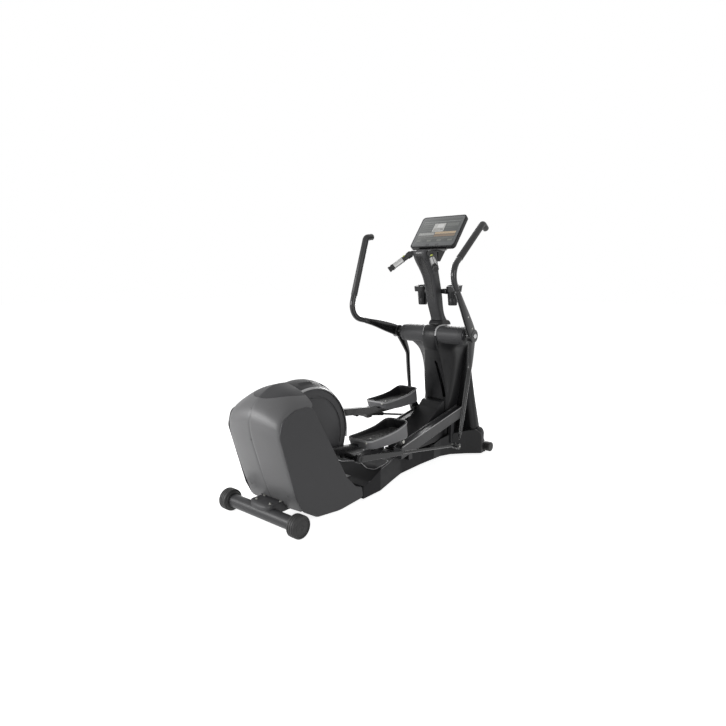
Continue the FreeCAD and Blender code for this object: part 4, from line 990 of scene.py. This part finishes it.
def tubOutline(values, inset, table, up, lean=0):
    # the tub's outline from above, drawn in by the inset, at this height over a table's
    x0, x1 = values["x"][0] + inset, values["x"][1] - inset
    y0, y1 = values["y"][0] + inset, values["y"][1] - inset - lean
    rear, toe = max(values["rearCorner"] - inset, 8), max(values["toeCorner"] - inset, 8)
    corners = [(x0 + rear, y0 + rear, rear, 180), (x1 - rear, y0 + rear, rear, 270),
               (x1 - toe, y1 - toe, toe, 0), (x0 + toe, y1 - toe, toe, 90)]
    points = []
    for k, (x, y, r, first) in enumerate(corners):
        for angle in range(first, first + 91, 18):
            points.append((x + r * math.cos(math.radians(angle)), y + r * math.sin(math.radians(angle))))
        nextX, nextY, nextR, nextFirst = corners[(k + 1) % 4]
        goalX = nextX + nextR * math.cos(math.radians(nextFirst))
        goalY = nextY + nextR * math.sin(math.radians(nextFirst))
        lastX, lastY = points[-1]
        between = 7 if k in (1, 3) else 2
        for share in [s / (between + 1) for s in range(1, between + 1)]:
            points.append((lastX + (goalX - lastX) * share, lastY + (goalY - lastY) * share))
    return [(x, y, heightAt(table, y) + up) for x, y in points]


def buildPedal(values):
    floor, rim, keel = values["floor"], values["rim"], values["keel"]
    flat = [(0, floor)]
    rows = [(values["under"][0], flat, values["under"][1])]
    rows += [(inset, keel, up, values["keelToe"] - inset) for inset, up in values["overKeel"]]
    rows += [(inset, rim, up, values["toeLean"]) for inset, up in values["overRim"]]
    rows += [(inset, flat, up) for inset, up in values["overFloor"]]
    tub = finishPiece(skinThrough([tubOutline(values, *row) for row in rows]), "pedalTubRight",
                      "pedal_arm_right", "mouldedAbsPedal", "black_shell", smooth=50)
    # the rim's top and the inside are black; outside, the wall is grey and the roll is painted pale as a
    # highlight
    tub.data.materials.append(finishes["satinAbsBlack"])
    tub.data.materials.append(finishes["paleHighlightAbs"])
    midX, midY = sum(values["x"]) / 2, sum(values["y"]) / 2
    for face in tub.data.polygons:
        spot = face.center * 1000
        outward = face.normal.dot(Vector((spot.x - midX, (spot.y - midY) * 0.4, 0)).normalized())
        if spot.z > floor - 4 and (face.normal.z > 0.6 or outward < -0.02):
            face.material_index = 1
        # painted highlight along the outer roll of the rim
        elif spot.z > heightAt(rim, spot.y) - values["highlightBand"]:
            face.material_index = 2
    mat = finishPiece(skinThrough([tubOutline(values, inset, flat, up) for inset, up in values["mat"]]),
                      "pedalMatRight", "pedal_arm_right", "mouldedRubber", "pad_rubber", smooth=30)
    x, y, up = values["ribSpot"]
    rib = openBlock((x, y, floor + up), values["rib"])
    pick(rib, "FACE", lambda c, n: n.z > 0.9)
    bpy.ops.mesh.bevel(offset=0.8 * mm, segments=2, affect="EDGES")
    ribs = finishPiece(rib, "pedalMatRibsRight", "pedal_arm_right", "mouldedRubber", "pad_rubber",
                       smooth=30)
    useModifier(ribs, "ARRAY", count=int(values["ribRun"] / values["ribPitch"]), use_relative_offset=False,
                use_constant_offset=True, constant_offset_displace=(0, values["ribPitch"] * mm, 0))
    bolts = [pointCopy(fasteners["buttonHead"], "pedalBolt%dRight" % number, "pedal_arm_right", spot, way)
             for number, (spot, way) in enumerate(values["bolts"], 1)]
    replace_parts(tub, "pedal_right")
    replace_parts(mat, "pedal_pad_right")
    for piece in [tub, mat, ribs] + bolts:
        other = leftCopy(piece, "pedal_arm_left", strideMove)
        if piece is tub:
            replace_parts(other, "pedal_left")
        if piece is mat:
            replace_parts(other, "pedal_pad_left")


buildPedal(pedal)
print("pedals done")

console = {
    "middle": (0, 669, 1629), "tilt": 51.9,
    "paneHalf": (176, 134), "paneCorner": 19, "paneThick": 1.3, "paneUp": 0.4, "rimGap": 0.4,
    "rim": (365.8, 282.8, 3.2), "rimCorner": 25.1,
    # openings for the two keys: x of each, y, size and corner
    "keyX": (-40, 40), "keyY": -123, "keySize": (27.2, 13.2, 20), "keyCorner": 3,
    # the back: air slots up the hump and a screw near each corner, from the console's middle
    "slots": 7, "slotR": 1.6, "slotDeep": 0.8, "slotLong": 22, "slotX": 70, "slotUp": 84, "slotPitch": 5.5,
    "slotOut": 34.2,
    "screwX": 162, "screwUp": 122, "screwOut": 34,
    "plateHex": "565859", "plateOther": "5c5e5f", "dustMm": 25, "lineMm": 6.04,
    # the picture on the display: plain tiles, (left, right, low, high) in mm on the pane, and a colour
    "tiles": [(-162, 162, -100, 116, "4a4d4c"), (-154, 154, 88, 92, "8d908e"),
              (-150, -62, 66, 76, "6a6d6a"), (-150, -62, 46, 54, "5d605d"), (-150, -62, 26, 34, "5d605d"),
              (-150, -62, 6, 14, "5d605d"), (-52, 42, -3, 72, "bdbdba"), (-46, 4, 4, 30, "a2a19d"),
              (-22, 30, 34, 66, "d6d6d4"), (8, 36, 6, 26, "8e8e8b"), (54, 150, 44, 72, "666966"),
              (54, 112, 26, 36, "5d605d"), (-154, -22, -34, -10, "9d9e9b"), (-18, 154, -26, -6, "b9a384"),
              (-18, 154, -50, -30, "85705a"), (-154, -22, -52, -40, "6c6c69"),
              (-154, 154, -70, -58, "5f615e"), (-150, -112, -92, -76, "71736e"),
              (-60, -24, -92, -76, "71736e"), (24, 60, -92, -76, "71736e"), (112, 150, -92, -76, "71736e")],
}


def displayFinish(values):
    # a lit display behind hard-coated glass: rows of soft tiles, all under one gloss
    made, tree = newMaterial("litDisplayGlass")
    place = addNode(tree, "ShaderNodeTexCoord")
    lean = math.radians(values["tilt"])
    onPane = addNode(tree, "ShaderNodeVectorMath",
                     {"operation": "SUBTRACT", 1: Vector(values["middle"]) * mm}, {0: (place, "Object")})
    up = addNode(tree, "ShaderNodeVectorMath",
                 {"operation": "DOT_PRODUCT", 1: (0, math.cos(lean), math.sin(lean))},
                 {0: (onPane, "Vector")})
    side = addNode(tree, "ShaderNodeSeparateXYZ", {}, {"Vector": (onPane, "Vector")})
    dust = addNode(tree, "ShaderNodeTexNoise", {"Scale": 1000 / values["dustMm"], "Detail": 3.0},
                   {"Vector": (place, "Object")})
    last = addNode(tree, "ShaderNodeMix", {"data_type": "RGBA", 6: toLinear(values["plateHex"]),
                   7: toLinear(values["plateOther"])}, {0: (dust, "Fac")})
    for x0, x1, y0, y1, tone in values["tiles"]:
        inX, inY = [addNode(tree, "ShaderNodeMath",
                            {"operation": "COMPARE", 1: (low + high) / 2 * mm, 2: (high - low) / 2 * mm},
                            {0: source})
                    for low, high, source in ((x0, x1, (side, "X")), (y0, y1, (up, "Value")))]
        both = addNode(tree, "ShaderNodeMath", {"operation": "MULTIPLY"},
                       {0: (inX, "Value"), 1: (inY, "Value")})
        last = addNode(tree, "ShaderNodeMix", {"data_type": "RGBA", 7: toLinear(tone)},
                       {0: (both, "Value"), 6: (last, 2)})
    # the panel's fine upright lines, drawn 6 mm apart, coarser than they are, so that they show; a wave
    # has 20 / tau lines to the metre at a scale of 1
    lines = addNode(tree, "ShaderNodeTexWave",
                    {"Scale": math.tau / 20 / (values["lineMm"] * mm), "bands_direction": "X"},
                    {"Vector": (place, "Object")})
    shade = addNode(tree, "ShaderNodeMix",
                    {"data_type": "RGBA", "blend_type": "MULTIPLY", 7: (0.9, 0.9, 0.9, 1)},
                    {0: (lines, "Fac"), 6: (last, 2)})
    shader = addNode(tree, "ShaderNodeBsdfPrincipled",
                     {"Roughness": 0.18, "Coat Weight": 0.6, "Coat Roughness": 0.05,
                      "Emission Strength": 0.22},
                     {"Base Color": (shade, 2), "Emission Color": (shade, 2)})
    addNode(tree, "ShaderNodeOutputMaterial", {}, {"Surface": (shader, "BSDF")})
    return made


def buildConsole(values):
    finishes["litDisplayGlass"] = displayFinish(values)
    lean = math.radians(values["tilt"])
    middle = Vector(values["middle"])
    alongWay = Vector((0, math.cos(lean), math.sin(lean)))       # up the console's face
    outWay = Vector((0, math.sin(lean), -math.cos(lean)))        # out of its back

    def standUp(piece, name):
        # from flat at the origin to the console's place and slant
        made = copyPiece(piece, name, "frame", move=middle * mm, turn=(lean, 0, 0))
        bpy.data.objects.remove(piece)
        return made

    wide, high = [2 * half for half in values["paneHalf"]]
    corner, gap = values["paneCorner"], values["rimGap"]
    pane = openRoundBlock((0, 0, values["paneUp"]), (wide, high, values["paneThick"]), corner, 8)
    pane = finishPiece(pane, "displayPanePattern", "frame", "litDisplayGlass", "screen", bevel=0.5,
                       smooth=30)
    for x in values["keyX"]:
        cutWith(pane, openRoundBlock((x, values["keyY"], 0), values["keySize"], values["keyCorner"], 4))
    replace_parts(standUp(pane, "displayPane"), "console_screen")
    # a raised rim round the pane, narrow and satin black
    rim = openRoundBlock((0, 0, 0), values["rim"], values["rimCorner"], 10)
    rim = finishPiece(rim, "rimPattern", *blackCover, bevel=1.4, segments=3, smooth=40)
    cutWith(rim, openRoundBlock((0, 0, 0), (wide + 2 * gap, high + 2 * gap, 20), corner + gap, 8))
    standUp(rim, "displayRim")
    slot = openPiece("rod", (0, 0, 0), radius=values["slotR"] * mm, depth=values["slotDeep"] * mm,
                     vertices=12)
    pick(slot, "VERT", lambda c: c.x > 0)
    shift(values["slotLong"], 0, 0)
    pick(slot, "FACE", lambda c, n: n.z < -0.9)
    bpy.ops.mesh.inset(thickness=0.4 * mm)
    slot = finishPiece(slot, "airSlotPattern", "frame", "mouldedRubber", "black_shell", smooth=30)
    for side, word in bothSides:
        for row in range(values["slots"]):
            up = values["slotUp"] + row * values["slotPitch"]
            spot = middle + alongWay * up + outWay * values["slotOut"]
            spot.x = side * values["slotX"] - values["slotLong"] / 2
            copyPiece(slot, "consoleAirSlot%d%s" % (row + 1, word), "frame", move=spot * mm,
                      turn=(lean, 0, 0))
        for end, up in (("Low", -values["screwUp"]), ("Top", values["screwUp"])):
            spot = middle + alongWay * up + outWay * values["screwOut"]
            spot.x = side * values["screwX"]
            pointCopy(fasteners["sunkScrew"], "consoleScrew" + end + word, "frame", spot, outWay)
    bpy.data.objects.remove(slot)


buildConsole(console)

yoke = {
    # up from the mast's top: (half width, rear edge, front edge, height)
    "rows": [(57, 452, 592, 1478), (62, 470, 600, 1487), (80, 510, 612, 1493), (104, 548, 622, 1498.5),
             (112, 566, 626, 1503)],
    # from this height on its front edge is lower than its rear one
    "liftFrom": 1490, "lift": 8, "corner": 16,
}


def buildYoke(values):
    # spreads from the mast's top to the underside of the console and hides the joint between them
    r = values["corner"]
    sections = []
    for half, back, front, z in values["rows"]:
        low = z - (values["lift"] if z > values["liftFrom"] else 0)
        side = [(half - r, back, z), (half - r * 0.3, back + r * 0.3, z), (half, back + r, z),
                (half, front, low)]
        left = [(-x, y, up) for x, y, up in reversed(side[:3])]
        sections.append(left + side + [(-half, front, low)])
    finishPiece(skinThrough(sections), "consoleYoke", *blackCover, bevel=1.2, smooth=45)


buildYoke(yoke)

mastInlay = {
    "from": 1150, "to": 1474, "rows": 15, "half": (24, 31), "endNarrow": 0.72, "proud": 1.2, "edge": 0.5,
    "across": (-1, -0.92, -0.5, 0, 0.5, 0.92, 1), "behind": 200, "sunk": 0.2, "inside": (0, 900, 1300),
}


def surfaceSpot(piece, start, way):
    # where a line from a start point in mm first meets a piece, and the way that the surface faces there
    hit, spot, normal, face = piece.ray_cast(Vector(start) * mm, Vector(way).normalized())
    return spot * 1000, normal


def buildMastInlay(values):
    # glossy strip down the side of the mast that faces the user
    rows = []
    last = values["rows"] - 1
    (low, high), (z0, z1) = values["half"], (values["from"], values["to"])
    for j in range(last + 1):
        half = (low + (high - low) * j / last) * (values["endNarrow"] if j in (0, last) else 1)
        spots = [surfaceSpot(nodes["mast_cover"], (x * half, values["behind"], z0 + (z1 - z0) * j / last),
                             axes["Y"])
                 for x in values["across"]]
        rows.append([spot - axes["Y"] * values["sunk"] for spot, normal in spots])
    strip = finishPiece(sheetThrough(rows), "mastInlay", "frame", "glossPaintBlack", "black_shell",
                        smooth=60)
    faceAwayFrom(strip, values["inside"])
    useModifier(strip, "SOLIDIFY", thickness=values["proud"] * mm, offset=1)
    bevelEdges(strip, values["edge"], 2, 50)
    smoothBy(strip, 45)


buildMastInlay(mastInlay)

plateRing = [(0, 18.2), (0, 19.8), (0.8, 20.3), (3.2, 20.3), (4, 19.8), (4, 18.2)]
barSleeves = {
    # the straight run of the right arm of the bar
    "bend": (74, 464, 1474), "end": (188, 365, 1363),
    # name: (how far down the run, (place along it, radius) rows)
    "rings": {
        "barCollar": (10, [(0, 18.2), (0, 21.5), (1.5, 23), (14, 23.4), (28, 22), (33, 20.4), (34, 18.4)]),
        "plateRingUpper": (77, plateRing), "plateRingLower": (156.5, plateRing),
        "barEndSleeve": (163, [(0, 18.2), (0, 20.6), (1.4, 21.6), (8, 21.8), (9, 20.8), (11, 20.8),
                               (12, 21.8)]),
    },
}


def buildBarSleeves(values):
    # a rubber collar where each arm of the fixed handlebar leaves the mast, and rings beside its plates
    bend, end = Vector(values["bend"]), Vector(values["end"])
    way = (end - bend).normalized()
    turn = way.to_track_quat("Z", "Y").to_euler()
    for name, (down, rows) in values["rings"].items():
        piece = finishPiece(turnOnLathe("Z", Vector(), rows, 36), name + "Pattern", "frame",
                            "mouldedRubber", "grip_foam")
        right = copyPiece(piece, name + "Right", "frame", move=(bend + way * down) * mm, turn=turn)
        bpy.data.objects.remove(piece)
        leftCopy(right)


buildBarSleeves(barSleeves)
print("console done")

saddle = {
    # outline over the tube, as (y, z)
    "outline": [(-876, 64), (-876, 112), (-879, 116), (-885, 117.8), (-968, 117.8), (-984, 115.5),
                (-994, 109), (-1000, 99), (-1002, 85), (-998, 86), (-990, 94.5), (-981, 98.2), (-971, 99.6),
                (-960, 98.2), (-950, 94.4), (-941, 88), (-935, 78), (-934, 64)],
    # from the end in: (x, how far the rear of the plate draws forward, how much lower its top is)
    "stations": [(-86, 30, 2.2), (-84, 25, 0), (-77, 17, 0), (-62, 8, 0), (-35, 2, 0), (0, 0, 0)],
    "top": 117.8, "rear": -1002, "bolts": {"Front": (66, -898), "Rear": (56, -962)},
}


def buildSaddle(values):
    half = values["stations"]
    sections = []
    for x, drawn, sunk in half + [(-x, drawn, sunk) for x, drawn, sunk in reversed(half[:-1])]:
        rear, top = values["rear"] + drawn, values["top"] - sunk
        sections.append([(x, max(y, rear) if y < -950 else y, min(z, top)) for y, z in values["outline"]])
    piece = finishPiece(skinThrough(sections), "rearSaddle", *darkCover, smooth=40)
    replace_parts(piece, "rear_mount_saddle")
    for side, word in bothSides:
        for end, (x, y) in values["bolts"].items():
            name, spot = "saddleBolt" + end + word, (side * x, y, values["top"])
            pointCopy(fasteners["washer"], name + "Washer", "frame", spot, axes["Z"])
            pointCopy(fasteners["hexHead"], name + "Head", "frame", spot, axes["Z"])


buildSaddle(saddle)

# screws in the rear face of the housing: name, x and z
housingScrews = [("Upper", -8, 634), ("Middle", -8, 470), ("LowLeft", -150, 170), ("LowRight", 150, 170)]
for name, x, z in housingScrews:
    spot, normal = surfaceSpot(bpy.data.objects["rearHousingSkin"], (x, -1200, z), axes["Y"])
    pointCopy(fasteners["sunkScrew"], "housingScrew" + name, "frame", spot, normal)

turnedParts = {
    # right-hand turned parts: (body, axis, middle in mm, (place along the axis, radius) rows, finish, slot)
    "linkEyeCap": ("pedal_arm_right", "X", (0, -461, 281),
                   [(249, 9), (249, 20), (250.5, 22.5), (253, 22.5), (255, 20.5), (255.6, 15), (254.8, 13),
                    (254.8, 6)],
                   "satinAbsBlack", "bright_steel"),
    "linkEyeRing": ("pedal_arm_right", "X", (0, -461, 281),
                    [(254.6, 16), (255.8, 15.6), (256.2, 14.2), (255.6, 12.8), (254.4, 12.4)],
                    "powderCoatBlack", "bright_steel"),
    "linkEyeShoulder": ("link_right", "X", (0, -461, 281), [(225, 12), (225, 20), (226.5, 20)],
                        "mouldedRubber", "arm_steel"),
    "rodEndNut": ("link_right", "X", (0, 391, 190),
                  [(336.6, 10), (336.6, 13.5), (334, 14.2), (330, 14.2), (329, 13), (329, 6)],
                  "zincPlate", "bright_steel"),
    "rollerCapOuter": ("pedal_arm_right", "X", (0, 81, 245.1),
                       [(149, 5), (149, 11), (150.4, 12), (153, 12), (154, 10.5), (154, 4)],
                       "zincPlate", "bright_steel"),
    "rollerCapInner": ("pedal_arm_right", "X", (0, 81, 245.1),
                       [(111, 5), (111, 11), (109.6, 12), (107, 12), (106, 10.5), (106, 4)],
                       "zincPlate", "bright_steel"),
    "crankPinCover": ("pedal_arm_right", "X", (0, -954, 372),
                      [(149, 14), (149, 20), (150, 21.2), (153.4, 21.2), (155, 19.6), (155, 12), (154, 10)],
                      "satinAbsBlack", "arm_steel"),
    "wheelHubOuter": ("transport_wheel_right", "X", (0, 1019, 56),
                      [(216.6, 8), (216.6, 15), (218, 16), (218.8, 14), (218, 11), (217.4, 7)],
                      "texturedAbsDark", "tyre_rubber"),
    "footLockNut": ("frame", "Z", (242, 962, 0),
                    [(9.2, 8), (9.4, 12.6), (10.4, 13.2), (13, 13.2), (13.8, 12.4), (13.8, 8)],
                    "zincPlate", "bright_steel"),
    "tubeEndRing": ("frame", "X", (0, pivotY, pivotZ),
                    [(271.2, 16), (273.6, 16.6), (274.4, 18), (274.4, 26), (273.2, 27.5), (273.2, 31),
                     (274.2, 32.5), (273.4, 35.6), (271.2, 36.6), (268, 36.6)],
                    "satinAbsBlack", "dark_shell"),
    "frontCapFace": ("frame", "X", (0, 962, 45),
                     [(316.6, 30), (317, 28.6), (315.4, 27), (315.4, 12), (316.2, 11), (316.2, 4)],
                     "mouldedRubber", "tyre_rubber"),
}
linkTurn = (-0.1117, 0, 0)                   # the left link's slant against the right one's, in radians
linkMove = moveFor(linkTurn, Vector(turnedParts["linkEyeShoulder"][2]) * mm) + Vector(strideMove)
leftOf = {"pedal_arm_right": ("pedal_arm_left", strideMove),
          "link_right": ("link_left", linkMove, linkTurn),
          "transport_wheel_right": ("transport_wheel_left",), "frame": ("frame",)}
for name, (body, axis, spot, rows, finish, slot) in turnedParts.items():
    piece = turnOnLathe(axis, Vector(spot) * mm, rows, 6 if "Nut" in name else 40)
    leftCopy(finishPiece(piece, name + "Right", body, finish, slot, smooth=32), *leftOf[body])
print("small parts done")

# pale rolled strips along edges, which are painted highlights: (radius, finish, slot, points in mm)
paintedHighlightRolls = {
    "railHighlight": (3.4, "silverTrimAndHighlight", "rail_steel",
                 [(163, 54, 214.5), (163, 56, 215.4), (163, 300, 264.2), (163, 560, 316.2),
                  (163, 800, 364.2), (163, 802, 364)]),
    "baseHighlight": (3.2, "mouldedAbsGrey", "black_shell",
                 [(203, -330, 96), (201, -300, 102), (199, -262, 118), (197, -224, 136), (191, -190, 145.5),
                  (178, -130, 148.5), (160, -76, 148.5), (143, -30, 148), (128, 20, 146.5), (117, 66, 144),
                  (109, 116, 141)]),
}
for name, (radius, finish, slot, points) in paintedHighlightRolls.items():
    piece = barThrough([(*fromPivot(*point), radius, radius) for point in points], 10)
    leftCopy(finishPiece(piece, name + "Right", "frame", finish, slot, smooth=50))
print("edges done")

towerHood = {
    # from below: (z, half width, rear edge, where the sides step in, half width in front, front edge)
    "rows": [(845, 215, 640, 811, 170, 846), (868, 212, 640, 806, 166, 842), (900, 201, 645, 792, 158, 824),
             (927, 189, 655, 772, 149, 796), (945, 178, 668, 748, 139, 768),
             (953, 168, 680, 728, 130, 742)],
    "soften": 7, "wall": 3,
}


def buildHood(values):
    # closes the two tower covers towards the sleeve; it is open below
    sections = []
    for z, half, back, step, narrow, front in values["rows"]:
        side = [(narrow, front, z), (narrow, step + 5, z), (half, step, z), (half, back, z)]
        sections.append([(-x, y, z) for x, y, z in reversed(side)] + side)
    piece = skinThrough(sections)
    pick(piece, "FACE", lambda c, n: abs(n.z) > 0.9 and c.z < values["rows"][0][0] + 5)
    bpy.ops.mesh.delete(type="FACE")
    finishPiece(piece, "towerHood", *blackCover, bevel=values["soften"], segments=3, wall=values["wall"],
                smooth=40)


buildHood(towerHood)
print("hood done")

armWell = {
    # (x, y) corners on the base's top, the radius of each, and the base's top as (y, z)
    "corners": [(8, -62), (8, -190), (104, -232), (176, -226), (166, -134), (142, -62)],
    "radii": (16, 16, 40, 30, 40, 16), "top": [(-324, 98), (-204, 148), (-14, 150)],
    "shadeLining": 1.2, "rings": (1, 0.8, 0.5, 0.2), "sunk": 3,
    # half height and half width of the rolled edge, and how far its middle stands over the top
    "roll": (1.8, 3.0), "rollUp": 1.4,
}


def buildArmWell(values):
    # under each pedal arm, in the top of the rear base, a dark lining that is painted shade for the well,
    # with a rolled edge painted pale as a highlight
    top = values["top"]
    corners = [fromPivot(x, y, heightAt(top, y)) for x, y in values["corners"]]
    # it starts in the middle of the front edge, so that every corner is rounded
    start = tuple((a + b) / 2 for a, b in zip(corners[-1], corners[0]))
    run = roundedRun([start] + corners + [start], values["radii"], 6)
    flat = [Vector((s.z, pivotY - s.x, 0)) for s in run[:-1]]
    middle = sum(flat, Vector()) / len(flat)
    sections = []
    for share, up in [(1, -values["sunk"])] + [(share, values["shadeLining"]) for share in values["rings"]]:
        ring = [middle + (p - middle) * share for p in flat]
        sections.append([(p.x, p.y, heightAt(top, p.y) + up) for p in ring])
    # the lining is a thin dark sheet that stands in for the well's shade: painted shade
    shadeLining = finishPiece(skinThrough(sections), "armWellLiningRight", "frame", "texturedAbsCoal",
                         "dark_shell", smooth=40)
    # the rolled edge round the well is painted pale: a painted highlight
    stations = [(*fromPivot(p.x, p.y, heightAt(top, p.y) + values["rollUp"]), *values["roll"])
                for p in flat + flat[:2]]
    roll = finishPiece(barThrough(stations, 10), "armWellEdgeRight", "frame", "paleHighlightAbs", "dark_shell",
                       smooth=50)
    leftCopy(shadeLining)
    leftCopy(roll)


buildArmWell(armWell)
print("arm wells done")

shoulder = {"spot": (238, 892), "reach": (43, 52), "foot": 146, "rise": 58, "lip": 3, "square": 2.5,
            "sides": 36, "steps": 8}


def buildShoulder(values):
    # domed cover over each clamp of the front foot, beside the tower
    (x, y), (reachX, reachY), foot = values["spot"], values["reach"], values["foot"]
    heights = [(1, foot - values["lip"]), (1, foot)]
    for step in range(1, values["steps"]):
        turn = math.radians(90 * step / values["steps"])
        heights.append((math.cos(turn) ** 0.8, foot + values["rise"] * math.sin(turn)))
    outline = [roundPoint(k, values["sides"], values["square"]) for k in range(values["sides"])]
    sections = [[(x + reachX * share * c, y + reachY * share * s, z) for c, s in outline]
                for share, z in heights]
    leftCopy(finishPiece(skinThrough(sections), "footShoulderRight", *blackCover, levels=1, smooth=60))


buildShoulder(shoulder)
print("shoulders done")

# the patterns that fasteners were copied from aren't part of the machine
for pattern in fasteners.values():
    bpy.data.objects.remove(pattern)
